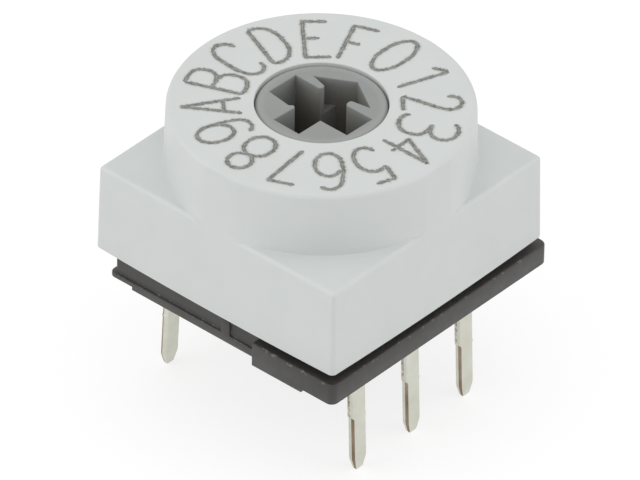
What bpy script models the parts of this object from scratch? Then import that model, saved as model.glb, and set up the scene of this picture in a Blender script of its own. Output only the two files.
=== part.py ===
"""Rotary coded switch for a printed board: sixteen positions, turned with a screwdriver.

Metres, +Z up. The origin is the middle of the seating plane, the underside of the base.
The front row of terminals is at -Y, and the rotor's arrow points along +X in the first position.
"""
import math
from itertools import pairwise

import bmesh
import bpy
from mathutils import Vector

MM = 0.001

# Base, from the seating plane up
FLANGE_PROUD = 0.09 * MM
BASE_CORNER_RADIUS = 0.25 * MM
BASE_FLANGE_TOP = 0.86 * MM
BASE_EDGE_CHAMFER = 0.04 * MM
BASE_CORNER_RELIEF = 0.12 * MM
RELIEF_FRONT = 1.32 * MM
RELIEF_BACK = 0.93 * MM
FLANGE_RETURN = 3.36 * MM
LIP_SIDE_INSET = 0.32 * MM
LIP_BACK_INSET = 0.57 * MM
LIP_HEIGHT = 0.30 * MM
LIP_CORNER_RADIUS = 0.18 * MM
WALL_STEP = 0.11 * MM
RIB_WIDTH = 0.36 * MM
RIB_FROM_FRONT = 4.76 * MM
TRAY_FLOOR = 2.05 * MM
TRAY_WALL = 0.76 * MM
TRAY_CORNER_RADIUS = 0.40 * MM
POST_RADIUS = 0.55 * MM
SNAP_WIDTH = 1.20 * MM
SNAP_HEIGHT = 0.50 * MM
SNAP_REACH = 0.18 * MM
SNAP_BELOW_CEILING = 1.05 * MM

# Housing
HOUSING_WIDTH = 10.0 * MM
HOUSING_DRAFT = math.radians(2.0)
HOUSING_CORNER_RADIUS = 0.23 * MM
HOUSING_WALL = 0.60 * MM
REVEAL_GAP = 0.28 * MM
BOX_HEIGHT = 3.12 * MM
SHOULDER_FILLET = 0.15 * MM
SKIRT_DEPTH = 1.46 * MM
COLLAR_HEIGHT = 2.26 * MM
COLLAR_DRAFT = math.radians(1.8)
COLLAR_OVERLAP = 0.03 * MM
COLLAR_FILLET = 0.20 * MM
COLLAR_WALL = 0.70 * MM
COLLAR_ROOF = 0.85 * MM
BORE_CHAMFER = 0.05 * MM
SLEEVE_WALL = 0.36 * MM
POCKET_RADIUS = 0.62 * MM
POCKET_DEPTH = 1.10 * MM

# Rotor
ROTOR_RADIUS = 2.07 * MM
ROTOR_CLEARANCE = 0.04 * MM
ROTOR_RECESS = 0.075 * MM
ROTOR_CHAMFER = 0.07 * MM
ROTOR_FLANGE = 0.50 * MM
FLANGE_CLEARANCE = 0.45 * MM
DRUM_LEDGE = 0.80 * MM
DRUM_HEIGHT = 0.65 * MM
HUB_RADIUS = 1.00 * MM
HUB_FLAT = 0.80 * MM
HUB_LIFT = 0.15 * MM

# Screwdriver slot
SLOT_DEPTH = 2.20 * MM
BARB_DEPTH = 1.03 * MM
BLADE_STEP = 0.02 * MM
ARM_HALF_WIDTH = 0.53 * MM
ARM_BACK = 0.63 * MM
ARM_RIM = 0.43 * MM
ARM_CORNER_RADIUS = 0.10 * MM
ARROW_BACK = 0.79 * MM
ARROW_BARB_BACK = 0.93 * MM
ARROW_BARB = 1.20 * MM
TONGUE_REACH = 0.58 * MM
TONGUE_RADIUS = 0.10 * MM

# Detent
POSITIONS = 16
NOTCH_DEPTH = 0.07 * MM
NOSE_ENGAGEMENT = 0.05 * MM
NOSE_ANGLE = math.radians(9.0)
SPRING_THICKNESS = 0.12 * MM
SPRING_HEIGHT = 0.50 * MM
SPRING_SIDE_GAP = 0.13 * MM
SPRING_POST_RADIUS = 0.16 * MM
SPRING_POST_ANGLE = math.radians(24.0)

# Seal
SEAL_SECTION = 0.44 * MM
SEAL_CLEARANCE = 0.02 * MM
GROOVE_LAND = 0.15 * MM

# Coded disc
CONTACT_SPACE = 0.80 * MM
DISC_THICKNESS = 0.35 * MM
TRACK_THICKNESS = 0.04 * MM
TRACK_EDGE = 0.28 * MM
TRACK_INNER = 0.45 * MM
TRACK_BRIDGE = 0.10 * MM
TRACK_CELLS = 64

# Terminals, link and contact springs
PITCH = 2.54 * MM
ROW_INSET = 1.19 * MM
TERMINAL_WIDTH = 0.55 * MM
TERMINAL_THICKNESS = 0.25 * MM
TERMINAL_LENGTH = 4.28 * MM
TERMINAL_LEAN = math.radians(2.4)
TERMINAL_STEP = 0.04 * MM
TERMINAL_STEP_DROP = 2.22 * MM
TERMINAL_BUMP = 0.03 * MM
TIP_TAPER = 0.45 * MM
TIP_WIDTH = 0.30 * MM
TIP_THICKNESS = 0.12 * MM
PAD_LENGTH = 0.86 * MM
PAD_SINK = 0.05 * MM
BEND_RADIUS = 0.20 * MM
LINK_THICKNESS = 0.20 * MM
LINK_EYE_WALL = 0.50 * MM
FINGER_WIDTH = 0.50 * MM
FINGER_TIP_WIDTH = 0.30 * MM
FINGER_THICKNESS = 0.08 * MM
FINGER_ROOT = 0.40 * MM
FINGER_CREST = 0.16 * MM

# Fits
SEAT_GAP = 0.03 * MM
RUN_GAP = 0.05 * MM
CONTACT_GAP = 0.015 * MM
FACE_STEP = 0.005 * MM
OUTSIDE = 2.0 * MM

# Each terminal's name, column, row and, where it has a contact, its track and its contact's angle
TERMINALS = (
    ("1", -1, -1, 1, -129.375),
    ("common_front", 0, -1, 0, -90.0),
    ("4", 1, -1, 3, -28.125),
    ("8", -1, 1, 4, 151.875),
    ("common_back", 0, 1, None, None),
    ("2", 1, 1, 2, 45.0),
)
TRACKS = 5

# Heights worked out from the sizes above
housing_bottom = BASE_FLANGE_TOP + REVEAL_GAP
shoulder_z = housing_bottom + BOX_HEIGHT
collar_top = shoulder_z + COLLAR_HEIGHT
ceiling_z = housing_bottom + SKIRT_DEPTH
roof_z = collar_top - COLLAR_ROOF
disc_bottom = TRAY_FLOOR + CONTACT_SPACE
track_bottom = disc_bottom - TRACK_THICKNESS
flange_bottom = disc_bottom + DISC_THICKNESS + SEAT_GAP
flange_top = flange_bottom + ROTOR_FLANGE
drum_top = flange_top + DRUM_HEIGHT
sleeve_bottom = drum_top + RUN_GAP
rotor_top = collar_top - ROTOR_RECESS
slot_floor = rotor_top - SLOT_DEPTH
barb_floor = rotor_top - BARB_DEPTH
spring_bottom = flange_top + RUN_GAP
spring_top = spring_bottom + SPRING_HEIGHT
groove_bottom = sleeve_bottom + GROOVE_LAND
groove_top = groove_bottom + SEAL_SECTION + 2 * SEAL_CLEARANCE
post_top = disc_bottom + DISC_THICKNESS
hub_bottom = TRAY_FLOOR + HUB_LIFT
pad_bottom = TRAY_FLOOR - PAD_SINK
pad_top = pad_bottom + TERMINAL_THICKNESS
link_top = pad_bottom - SEAT_GAP
link_bottom = link_top - LINK_THICKNESS
snap_bottom = ceiling_z - SNAP_BELOW_CEILING

# Radii and half widths worked out from the sizes above
housing_half = HOUSING_WIDTH / 2
base_half = housing_half + FLANGE_PROUD
shoulder_half = housing_half - BOX_HEIGHT * math.tan(HOUSING_DRAFT)
collar_foot_radius = shoulder_half + COLLAR_OVERLAP
collar_top_radius = collar_foot_radius - COLLAR_HEIGHT * math.tan(COLLAR_DRAFT)
crest_radius = collar_top_radius - COLLAR_WALL
chamber_radius = crest_radius + NOTCH_DEPTH + SEAT_GAP
bore_radius = ROTOR_RADIUS + ROTOR_CLEARANCE
groove_radius = ROTOR_RADIUS + SEAL_SECTION + 2 * SEAL_CLEARANCE
sleeve_radius = groove_radius + SLEEVE_WALL
flange_radius = crest_radius - FLANGE_CLEARANCE
skirt_half = housing_half - HOUSING_WALL
plinth_half = skirt_half - 2 * SEAT_GAP
tray_half = plinth_half - TRAY_WALL
drum_radius = flange_radius - DRUM_LEDGE
arm_reach = ROTOR_RADIUS - ARM_RIM
hoop_waist = drum_radius + 2 * SEAT_GAP
hoop_crown = crest_radius - SPRING_SIDE_GAP - SPRING_THICKNESS
inner_track = HUB_RADIUS + TRACK_INNER
outer_track = flange_radius - TRACK_EDGE
track_step = (outer_track - inner_track) / (TRACKS - 1)
window_half_width = (track_step - TRACK_BRIDGE) / 2
row_y = housing_half - ROW_INSET
position_angle = math.tau / POSITIONS


def make_material(name, colour, roughness, metallic=0.0):
    material = bpy.data.materials.new(name)
    material.use_nodes = True
    shader = material.node_tree.nodes["Principled BSDF"]
    shader.inputs["Base Color"].default_value = (*colour, 1.0)
    shader.inputs["Roughness"].default_value = roughness
    shader.inputs["Metallic"].default_value = metallic
    return material


def finish_object(name, bm, material=None):
    """Turn a bmesh into an object with outward faces."""
    bmesh.ops.recalc_face_normals(bm, faces=bm.faces)
    mesh = bpy.data.meshes.new(name)
    bm.to_mesh(mesh)
    bm.free()
    mesh.shade_smooth()
    mesh.set_sharp_from_angle(angle=math.radians(30))
    body = bpy.data.objects.new(name, mesh)
    bpy.context.collection.objects.link(body)
    if material:
        mesh.materials.append(material)
    return body


def combine(body, tool, operation):
    """Join a tool shape to a body, or cut it away, and hide the tool."""
    tool.display_type = "WIRE"
    tool.hide_render = True
    modifier = body.modifiers.new(tool.name, "BOOLEAN")
    modifier.operation = operation
    modifier.solver = "EXACT"
    modifier.object = tool


def arc(centre, radius, start, end, steps):
    """Points along an arc from one angle to another, both ends included."""
    turns = (start + (end - start) * i / steps for i in range(steps + 1))
    return [(centre[0] + radius * math.cos(t), centre[1] + radius * math.sin(t)) for t in turns]


def rounded_rectangle(half_x, half_y, radius, steps=5):
    """Outline of a rectangle with round corners, anticlockwise."""
    points = []
    for quarter, (sx, sy) in enumerate(((1, 1), (-1, 1), (-1, -1), (1, -1))):
        centre = (sx * (half_x - radius), sy * (half_y - radius))
        start = quarter * math.pi / 2
        points += arc(centre, radius, start, start + math.pi / 2, steps)
    return points


def rectangle(x, half_x, start, end):
    """Outline that spans from one y to another, anticlockwise."""
    low, high = min(start, end), max(start, end)
    return [(x - half_x, low), (x + half_x, low), (x + half_x, high), (x - half_x, high)]


def loft(sections):
    """Closed solid through level outlines that have the same number of points."""
    bm = bmesh.new()
    rings = [[bm.verts.new((x, y, z)) for x, y in outline] for outline, z in sections]
    count = len(rings[0])
    for lower, upper in pairwise(rings):
        for i in range(count):
            j = (i + 1) % count
            bm.faces.new((lower[i], lower[j], upper[j], upper[i]))
    bm.faces.new(list(reversed(rings[0])))
    bm.faces.new(rings[-1])
    return bm


def prism(outline, bottom, top):
    return loft(((outline, bottom), (outline, top)))


def turned(profile, segments):
    """Solid of revolution; the profile runs from the axis round to the axis again."""
    bm = bmesh.new()
    rings = []
    for radius, z in profile:
        if radius == 0.0:
            rings.append([bm.verts.new((0.0, 0.0, z))])
            continue
        turns = (math.tau * i / segments for i in range(segments))
        rings.append([bm.verts.new((radius * math.cos(t), radius * math.sin(t), z)) for t in turns])
    for lower, upper in pairwise(rings):
        for i in range(segments):
            j = (i + 1) % segments
            if len(lower) == 1:
                bm.faces.new((lower[0], upper[j], upper[i]))
            elif len(upper) == 1:
                bm.faces.new((lower[i], lower[j], upper[0]))
            else:
                bm.faces.new((lower[i], lower[j], upper[j], upper[i]))
    return bm


def ring(profile, segments):
    """Solid of revolution of a closed profile that stays clear of the axis."""
    bm = bmesh.new()
    rings = []
    for i in range(segments):
        turn = math.tau * i / segments
        rings.append([bm.verts.new((r * math.cos(turn), r * math.sin(turn), z)) for r, z in profile])
    count = len(profile)
    for i in range(segments):
        here, there = rings[i], rings[(i + 1) % segments]
        for k in range(count):
            m = (k + 1) % count
            bm.faces.new((here[k], there[k], there[m], here[m]))
    return bm


def formed_strip(stations):
    """Bent strip: each station is a centre, a half width vector pair and a half thickness vector."""
    bm = bmesh.new()
    rings = []
    for centre, left, right, thick in stations:
        sides = ((left, thick), (left, -thick), (right, -thick), (right, thick))
        rings.append([bm.verts.new(centre + across + through) for across, through in sides])
    for here, there in pairwise(rings):
        for k in range(4):
            m = (k + 1) % 4
            bm.faces.new((here[k], here[m], there[m], there[k]))
    bm.faces.new(rings[0])
    bm.faces.new(rings[-1])
    return bm


def strip_normals(points, width_axes):
    """Thickness direction at each station, mitred where the strip bends."""
    normals = []
    for i, point in enumerate(points):
        before = (point - points[max(i - 1, 0)]).normalized()
        after = (points[min(i + 1, len(points) - 1)] - point).normalized()
        tangent = (before + after).normalized()
        normal = tangent.cross(width_axes[i]).normalized()
        reference = after if after.length else before
        spread = max(abs(tangent.dot(reference)), 0.5)
        normals.append(normal / spread)
    return normals


def wavy_circle(radius, depth, count, steps):
    """Outline of a circle with evenly spaced round notches going outwards."""
    points = []
    for i in range(count * steps):
        turn = math.tau * i / (count * steps)
        r = radius + depth * (1 + math.cos(count * turn)) / 2
        points.append((r * math.cos(turn), r * math.sin(turn)))
    return points


def fillet_corner(before, corner, after, radius, steps=4):
    """Arc that rounds one corner of an outline."""
    corner, before, after = Vector(corner), Vector(before), Vector(after)
    to_before, to_after = (before - corner).normalized(), (after - corner).normalized()
    half_angle = to_before.angle(to_after) / 2
    middle = corner + (to_before + to_after).normalized() * radius / math.sin(half_angle)
    start = corner + to_before * radius / math.tan(half_angle) - middle
    end = corner + to_after * radius / math.tan(half_angle) - middle
    points = []
    for i in range(steps + 1):
        direction = start.lerp(end, i / steps).normalized()
        points.append(tuple(middle + direction * radius))
    return points


def slot_outline():
    """Cross whose +X arm ends in an arrowhead; its point shows the position."""
    arm, back, reach = ARM_HALF_WIDTH, ARM_BACK, arm_reach
    tongue, neck = (arm, -TONGUE_REACH), (ARROW_BACK, -TONGUE_REACH)
    barb = (ARROW_BARB_BACK, -ARROW_BARB)
    half = [(-back, -reach), (arm, -reach)]
    half += fillet_corner((arm, -reach), tongue, neck, TONGUE_RADIUS)
    half += fillet_corner(tongue, neck, barb, TONGUE_RADIUS)
    half.append(barb)
    half += [(reach, 0.0)] + [(x, -y) for x, y in reversed(half)]
    corner = fillet_corner((-back, reach), (-back, arm), (-reach, arm), ARM_CORNER_RADIUS)
    return [(-reach, -arm), (-back, -arm), *half, *corner, (-reach, arm)]


def blade_outline():
    """The deep cross inside the slot: its +X arm ends a step short of the arrowhead's flanks."""
    arm, back, reach = ARM_HALF_WIDTH - BLADE_STEP, ARM_BACK - BLADE_STEP, arm_reach - BLADE_STEP
    rise = (arm_reach - ARROW_BARB_BACK) / ARROW_BARB
    point = arm_reach - BLADE_STEP * math.hypot(1, rise)
    half = [(-back, -reach), (arm, -reach), (arm, -arm), (point - rise * arm, -arm)]
    half += [(point, 0.0)] + [(x, -y) for x, y in reversed(half)]
    corner = fillet_corner((-back, reach), (-back, arm), (-reach, arm), ARM_CORNER_RADIUS + BLADE_STEP)
    return [(-reach, -arm), (-back, -arm), *half, *corner, (-reach, arm)]


def drafted_square(bottom, top, trim=0.0):
    """Sections of the housing's sloping sides, whose corners keep their centres."""
    centre = housing_half - HOUSING_CORNER_RADIUS
    sections = []
    for z in (bottom, top):
        half = housing_half - (z - housing_bottom) * math.tan(HOUSING_DRAFT) - trim
        sections.append((rounded_rectangle(half, half, max(half - centre, FACE_STEP)), z))
    return sections


def make_housing(material):
    fillet_start = shoulder_z - SHOULDER_FILLET
    sections = drafted_square(housing_bottom, fillet_start)
    half = housing_half - (fillet_start - housing_bottom) * math.tan(HOUSING_DRAFT)
    for step in range(1, 5):
        turn = step * math.pi / 8
        inset = half - SHOULDER_FILLET * (1 - math.cos(turn))
        corner = max(inset - housing_half + HOUSING_CORNER_RADIUS, FACE_STEP)
        z = fillet_start + SHOULDER_FILLET * math.sin(turn)
        sections.append((rounded_rectangle(inset, inset, corner), z))
    housing = finish_object("housing", loft(sections), material)

    collar_bottom = shoulder_z - 4 * SHOULDER_FILLET
    flare = (shoulder_z - collar_bottom) * math.tan(COLLAR_DRAFT)
    rim_centre = (collar_top_radius - COLLAR_FILLET, collar_top - COLLAR_FILLET)
    rim = arc(rim_centre, COLLAR_FILLET, 0, math.pi / 2, 5)
    profile = [(0.0, collar_bottom), (collar_foot_radius + flare, collar_bottom), *rim, (0.0, collar_top)]
    collar = finish_object("collar", turned(profile, 96))
    sides = drafted_square(collar_bottom - FACE_STEP, collar_top + SHOULDER_FILLET, FACE_STEP)
    combine(collar, finish_object("collar_sides", loft(sides)), "INTERSECT")
    combine(housing, collar, "UNION")

    skirt_top = skirt_half - SKIRT_DEPTH * math.tan(HOUSING_DRAFT) / 2
    skirt = loft((
        (rounded_rectangle(skirt_half, skirt_half, HOUSING_CORNER_RADIUS), housing_bottom - OUTSIDE),
        (rounded_rectangle(skirt_half, skirt_half, HOUSING_CORNER_RADIUS), housing_bottom),
        (rounded_rectangle(skirt_top, skirt_top, HOUSING_CORNER_RADIUS), ceiling_z),
    ))
    combine(housing, finish_object("skirt_cavity", skirt), "DIFFERENCE")

    notch_bottom = spring_bottom - RUN_GAP
    chamber = [
        (0.0, ceiling_z - SKIRT_DEPTH / 2), (chamber_radius, ceiling_z - SKIRT_DEPTH / 2),
        (chamber_radius, notch_bottom), (crest_radius, notch_bottom), (crest_radius, roof_z),
        (sleeve_radius, roof_z), (sleeve_radius, sleeve_bottom), (bore_radius, sleeve_bottom),
        (bore_radius, groove_bottom), (groove_radius, groove_bottom),
        (groove_radius, groove_top), (bore_radius, groove_top),
        (bore_radius, collar_top - BORE_CHAMFER), (bore_radius + 2 * BORE_CHAMFER, collar_top + BORE_CHAMFER),
        (bore_radius + 2 * BORE_CHAMFER, collar_top + OUTSIDE), (0.0, collar_top + OUTSIDE),
    ]
    combine(housing, finish_object("rotor_chamber", turned(chamber, 96)), "DIFFERENCE")

    outline = wavy_circle(crest_radius, NOTCH_DEPTH, POSITIONS, 8)
    notches = prism(outline, notch_bottom - RUN_GAP, spring_top + 2 * RUN_GAP)
    combine(housing, finish_object("notches", notches), "DIFFERENCE")

    for side in (-1, 1):
        combine(housing, finish_object("snap_pocket", snap_nose(side, SEAT_GAP)), "DIFFERENCE")

    spread = (skirt_half + chamber_radius / math.sqrt(2)) / 2
    for sx in (-1, 1):
        for sy in (-1, 1):
            middle = (sx * spread, sy * spread)
            outline = arc(middle, POCKET_RADIUS, 0, math.tau, 16)[:-1]
            pocket = prism(outline, ceiling_z - SKIRT_DEPTH / 2, ceiling_z + POCKET_DEPTH)
            combine(housing, finish_object("corner_pocket", pocket), "DIFFERENCE")
    return housing


def recess_outline(side, back, radius, with_ribs):
    """Material outside the set-back sides of the base, open towards the front."""
    start = -base_half + FLANGE_RETURN
    rib_front = -base_half + RIB_FROM_FRONT - RIB_WIDTH / 2
    rib_back = rib_front + RIB_WIDTH
    rib_out = base_half + OUTSIDE / 2
    right = [(side, start)]
    if with_ribs:
        right += [(side, rib_front), (rib_out, rib_front), (rib_out, rib_back), (side, rib_back)]
    right += arc((side - radius, back - radius), radius, 0, math.pi / 2, 4)
    left = [(-x, y) for x, y in reversed(right)]
    far = base_half + OUTSIDE
    return [*right, *left, (-far, start), (-far, far), (far, far), (far, start)]


def snap_nose(side, grow=0.0):
    """Wedge that the housing clicks over: a slope above and a flat catch below."""
    root = plinth_half - HOUSING_CORNER_RADIUS
    reach = plinth_half + SNAP_REACH + grow
    top = snap_bottom + SNAP_HEIGHT + grow
    bottom = snap_bottom - grow
    edge = bottom + SNAP_HEIGHT / 4
    profile = [(root, bottom), (reach, bottom), (reach, edge), (plinth_half, top), (root, top)]
    half = SNAP_WIDTH / 2 + grow
    bm = bmesh.new()
    ends = [[bm.verts.new((side * x, y, z)) for x, z in profile] for y in (-half, half)]
    count = len(profile)
    for i in range(count):
        j = (i + 1) % count
        bm.faces.new((ends[0][i], ends[0][j], ends[1][j], ends[1][i]))
    bm.faces.new(list(reversed(ends[0])))
    bm.faces.new(ends[1])
    return bm


def link_outline(grow=0.0):
    """Strip along Y with a round eye in the middle, which clears the centre post."""
    half, end = TERMINAL_WIDTH / 2 + grow, row_y - BEND_RADIUS - TERMINAL_THICKNESS / 2 + grow
    eye = POST_RADIUS + LINK_EYE_WALL + grow
    turn = math.acos(half / eye)
    right = [(half, -end), *arc((0.0, 0.0), eye, -turn, turn, 8), (half, end)]
    return right + [(-x, -y) for x, y in right]


def make_common_link(material):
    link = finish_object("common_link", prism(link_outline(), link_bottom, link_top), material)
    outline = arc((0.0, 0.0), POST_RADIUS + SEAT_GAP, 0, math.tau, 32)[:-1]
    eye = prism(outline, link_bottom - OUTSIDE, link_top + OUTSIDE)
    combine(link, finish_object("link_eye", eye), "DIFFERENCE")
    return link


def make_base(material):
    top = base_half - BASE_EDGE_CHAMFER
    block = finish_object("base", loft((
        (rounded_rectangle(base_half, base_half, BASE_CORNER_RADIUS), 0.0),
        (rounded_rectangle(base_half, base_half, BASE_CORNER_RADIUS), BASE_FLANGE_TOP - BASE_EDGE_CHAMFER),
        (rounded_rectangle(top, top, BASE_CORNER_RADIUS - BASE_EDGE_CHAMFER), BASE_FLANGE_TOP),
    )), material)

    lip_side, lip_back = base_half - LIP_SIDE_INSET, base_half - LIP_BACK_INSET
    for name, step, bottom, with_ribs in (
        ("lip_recess", 0.0, -OUTSIDE, False),
        ("wall_recess", WALL_STEP, LIP_HEIGHT, True),
    ):
        outline = recess_outline(lip_side - step, lip_back - step, LIP_CORNER_RADIUS, with_ribs)
        recess = prism(outline, bottom, BASE_FLANGE_TOP + OUTSIDE)
        combine(block, finish_object(name, recess), "DIFFERENCE")

    far = base_half + OUTSIDE
    for name, near_y, far_y in (
        ("front_relief", -base_half + RELIEF_FRONT, -far),
        ("back_relief", base_half - LIP_BACK_INSET - RELIEF_BACK, far),
    ):
        relief = prism(rectangle(0.0, far, near_y, far_y), -OUTSIDE, BASE_CORNER_RELIEF)
        combine(block, finish_object(name, relief), "DIFFERENCE")

    outline = rounded_rectangle(plinth_half, plinth_half, HOUSING_CORNER_RADIUS)
    plinth = prism(outline, BASE_FLANGE_TOP / 2, ceiling_z - SEAT_GAP)
    combine(block, finish_object("plinth", plinth), "UNION")
    tray = prism(rounded_rectangle(tray_half, tray_half, TRAY_CORNER_RADIUS), TRAY_FLOOR, ceiling_z + OUTSIDE)
    combine(block, finish_object("tray", tray), "DIFFERENCE")
    groove = prism(link_outline(SEAT_GAP), link_bottom - SEAT_GAP, ceiling_z)
    combine(block, finish_object("link_groove", groove), "DIFFERENCE")
    post = [(0.0, BASE_FLANGE_TOP), (POST_RADIUS, BASE_FLANGE_TOP), (POST_RADIUS, post_top), (0.0, post_top)]
    combine(block, finish_object("centre_post", turned(post, 32)), "UNION")
    for side in (-1, 1):
        combine(block, finish_object("snap_nose", snap_nose(side)), "UNION")

    half_x = TERMINAL_WIDTH / 2 + TERMINAL_STEP + SEAT_GAP
    half_y = TERMINAL_THICKNESS / 2 + SEAT_GAP
    pad_floor = pad_bottom - SEAT_GAP
    for name, column, row, _, _ in TERMINALS:
        x, y = column * PITCH, row * row_y
        pad_end = y - row * (PAD_LENGTH + BEND_RADIUS + SEAT_GAP)
        for part, start, end, floor in (
            ("leg", y - half_y, y + half_y, -OUTSIDE),
            ("pad", pad_end, y, pad_floor),
        ):
            slot = prism(rectangle(x, half_x, start, end), floor, ceiling_z + OUTSIDE)
            combine(block, finish_object(f"{part}_slot_{name}", slot), "DIFFERENCE")
    return block


def make_terminal(name, column, row, material):
    """Stamped leg with a pad at its head; the back row is the same piece turned round."""
    half = TERMINAL_WIDTH / 2
    pad_z = pad_bottom + TERMINAL_THICKNESS / 2
    bend = arc((row_y - BEND_RADIUS, pad_z - BEND_RADIUS), BEND_RADIUS, math.pi / 2, 0, 4)
    path = [(row_y - BEND_RADIUS - PAD_LENGTH, pad_z), *bend]
    wide = half + TERMINAL_STEP
    widths = [(wide, half, 1.0)] * len(path)
    step_z, tip_z = -TERMINAL_STEP_DROP, -TERMINAL_LENGTH
    shapes = (
        (0.0, wide, half, 1.0),
        (step_z + 0.03 * MM, wide, half, 1.0),
        (step_z - 0.05 * MM, half, half + TERMINAL_BUMP, 1.0),
        (step_z - 0.13 * MM, half, half, 1.0),
        (tip_z + TIP_TAPER, half, half, 1.0),
        (tip_z + TIP_WIDTH / 4, TIP_WIDTH / 2, TIP_WIDTH / 2, TIP_THICKNESS / TERMINAL_THICKNESS),
        (tip_z, TIP_WIDTH / 4, TIP_WIDTH / 4, TIP_THICKNESS / TERMINAL_THICKNESS * 0.75),
    )
    for z, left, right, share in shapes:
        path.append((row_y - z * math.tan(TERMINAL_LEAN), z))
        widths.append((left, right, share))
    axis = Vector((row, 0.0, 0.0))
    points = [Vector((column * PITCH, row * y, z)) for y, z in path]
    normals = strip_normals(points, [axis] * len(points))
    stations = []
    for point, normal, (left, right, share) in zip(points, normals, widths):
        thick = normal * TERMINAL_THICKNESS / 2 * share
        stations.append((point, axis * left, -axis * right, thick))
    return finish_object(f"terminal_{name}", formed_strip(stations), material)


def track_radius(track):
    return inner_track + track_step * track


def make_contact_spring(name, column, row, track, angle, material):
    """Leaf welded on a terminal's pad, rising to a rounded crest under its track."""
    root_z = pad_top + CONTACT_GAP + FINGER_THICKNESS / 2
    crest_z = track_bottom - CONTACT_GAP - FINGER_THICKNESS / 2
    root_y = row * (row_y - BEND_RADIUS)
    root = Vector((column * PITCH, root_y, root_z))
    knee = Vector((column * PITCH, root_y - row * FINGER_ROOT, root_z))
    radius = track_radius(track)
    turn = math.radians(angle)
    crest = Vector((radius * math.cos(turn), radius * math.sin(turn), crest_z))
    run = Vector((crest.x - knee.x, crest.y - knee.y, 0.0)).normalized()
    rise = (crest - knee).length
    slope = (crest_z - root_z) / rise
    points = [root, knee, knee.lerp(crest - run * FINGER_CREST, 0.5)]
    for share, drop in ((-1.0, 0.6), (-0.4, 0.12), (0.0, 0.0), (0.5, 0.15), (1.0, 0.6), (1.4, 1.2)):
        shift = Vector((0.0, 0.0, -drop * FINGER_CREST * max(slope, 0.2)))
        points.append(crest + run * share * FINGER_CREST + shift)
    straight = Vector((0.0, -row, 0.0))
    across_root, across_run = straight.cross(Vector((0, 0, 1))), run.cross(Vector((0, 0, 1)))
    across_knee = (across_root + across_run).normalized()
    axes = [across_root, across_knee] + [across_run] * (len(points) - 2)
    normals = strip_normals(points, axes)
    stations = []
    for i, (point, axis, normal) in enumerate(zip(points, axes, normals)):
        share = min(max((i - 1) / 2, 0.0), 1.0)
        half = (FINGER_WIDTH + (FINGER_TIP_WIDTH - FINGER_WIDTH) * share) / 2
        stations.append((point, axis * half, -axis * half, normal * FINGER_THICKNESS / 2))
    return finish_object(f"contact_spring_{name}", formed_strip(stations), material)


def hub_outline(grow=0.0, steps=24):
    """Circle with one flat, which keys the coded disc to the rotor."""
    radius, flat = HUB_RADIUS + grow, HUB_FLAT + grow
    half_angle = math.acos(flat / radius)
    return arc((0.0, 0.0), radius, half_angle, math.tau - half_angle, steps)


def make_rotor(material):
    chamfer_radius = ROTOR_RADIUS - ROTOR_CHAMFER
    profile = [
        (0.0, flange_bottom), (flange_radius, flange_bottom), (flange_radius, flange_top),
        (drum_radius, flange_top), (drum_radius, drum_top), (ROTOR_RADIUS, drum_top),
        (ROTOR_RADIUS, rotor_top - ROTOR_CHAMFER), (chamfer_radius, rotor_top), (0.0, rotor_top),
    ]
    rotor = finish_object("rotor", turned(profile, 96), material)
    hub = prism(hub_outline(), hub_bottom, flange_bottom + ROTOR_FLANGE / 2)
    combine(rotor, finish_object("hub", hub), "UNION")
    post_distance = hoop_waist + SPRING_THICKNESS + 2 * SEAT_GAP + SPRING_POST_RADIUS
    for side in (-1, 1):
        for turn in (-SPRING_POST_ANGLE, SPRING_POST_ANGLE):
            angle = side * math.pi / 2 + turn
            distance = post_distance + hoop_bulge(angle)
            middle = (distance * math.cos(angle), distance * math.sin(angle))
            outline = arc(middle, SPRING_POST_RADIUS, 0, math.tau, 16)[:-1]
            post = prism(outline, flange_bottom + ROTOR_FLANGE / 2, spring_top - RUN_GAP)
            combine(rotor, finish_object("spring_post", post), "UNION")
    for name, outline, floor in (
        ("arrow_slot", slot_outline(), barb_floor),
        ("blade_slot", blade_outline(), slot_floor),
    ):
        combine(rotor, finish_object(name, prism(outline, floor, rotor_top + OUTSIDE)), "DIFFERENCE")
    pivot_radius, pivot_top = POST_RADIUS + SEAT_GAP, post_top + 2 * SEAT_GAP
    pivot_bottom = hub_bottom - OUTSIDE
    pivot = [(0.0, pivot_bottom), (pivot_radius, pivot_bottom), (pivot_radius, pivot_top), (0.0, pivot_top)]
    combine(rotor, finish_object("pivot_bore", turned(pivot, 32)), "DIFFERENCE")
    return rotor


def hoop_bulge(angle):
    """How far the detent hoop stands out from its waist at an angle."""
    return (hoop_crown - hoop_waist) * (1 + math.cos(2 * angle)) / 2


def make_detent_spring(material):
    """Oval hoop held at its waist; a nose at each end drops into the housing's notches."""
    nose = NOSE_ENGAGEMENT + SPRING_SIDE_GAP
    segments = 160
    bm = bmesh.new()
    rings = []
    for i in range(segments):
        turn = math.tau * i / segments
        inner = hoop_waist + hoop_bulge(turn)
        off = abs((turn + math.pi / 2) % math.pi - math.pi / 2)
        if off < NOSE_ANGLE:
            inner += nose * (1 + math.cos(math.pi * off / NOSE_ANGLE)) / 2
        outer = inner + SPRING_THICKNESS
        corners = ((inner, spring_bottom), (outer, spring_bottom), (outer, spring_top), (inner, spring_top))
        rings.append([bm.verts.new((r * math.cos(turn), r * math.sin(turn), z)) for r, z in corners])
    for i in range(segments):
        here, there = rings[i], rings[(i + 1) % segments]
        for k in range(4):
            m = (k + 1) % 4
            bm.faces.new((here[k], here[m], there[m], there[k]))
    return finish_object("detent_spring", bm, material)


def make_rotor_seal(material):
    """Ring round the knob, held in a groove of the housing's sleeve."""
    centre = ((ROTOR_RADIUS + groove_radius) / 2, (groove_bottom + groove_top) / 2)
    section = arc(centre, SEAL_SECTION / 2, 0, math.tau, 12)[:-1]
    return finish_object("rotor_seal", ring(section, 64), material)


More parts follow.
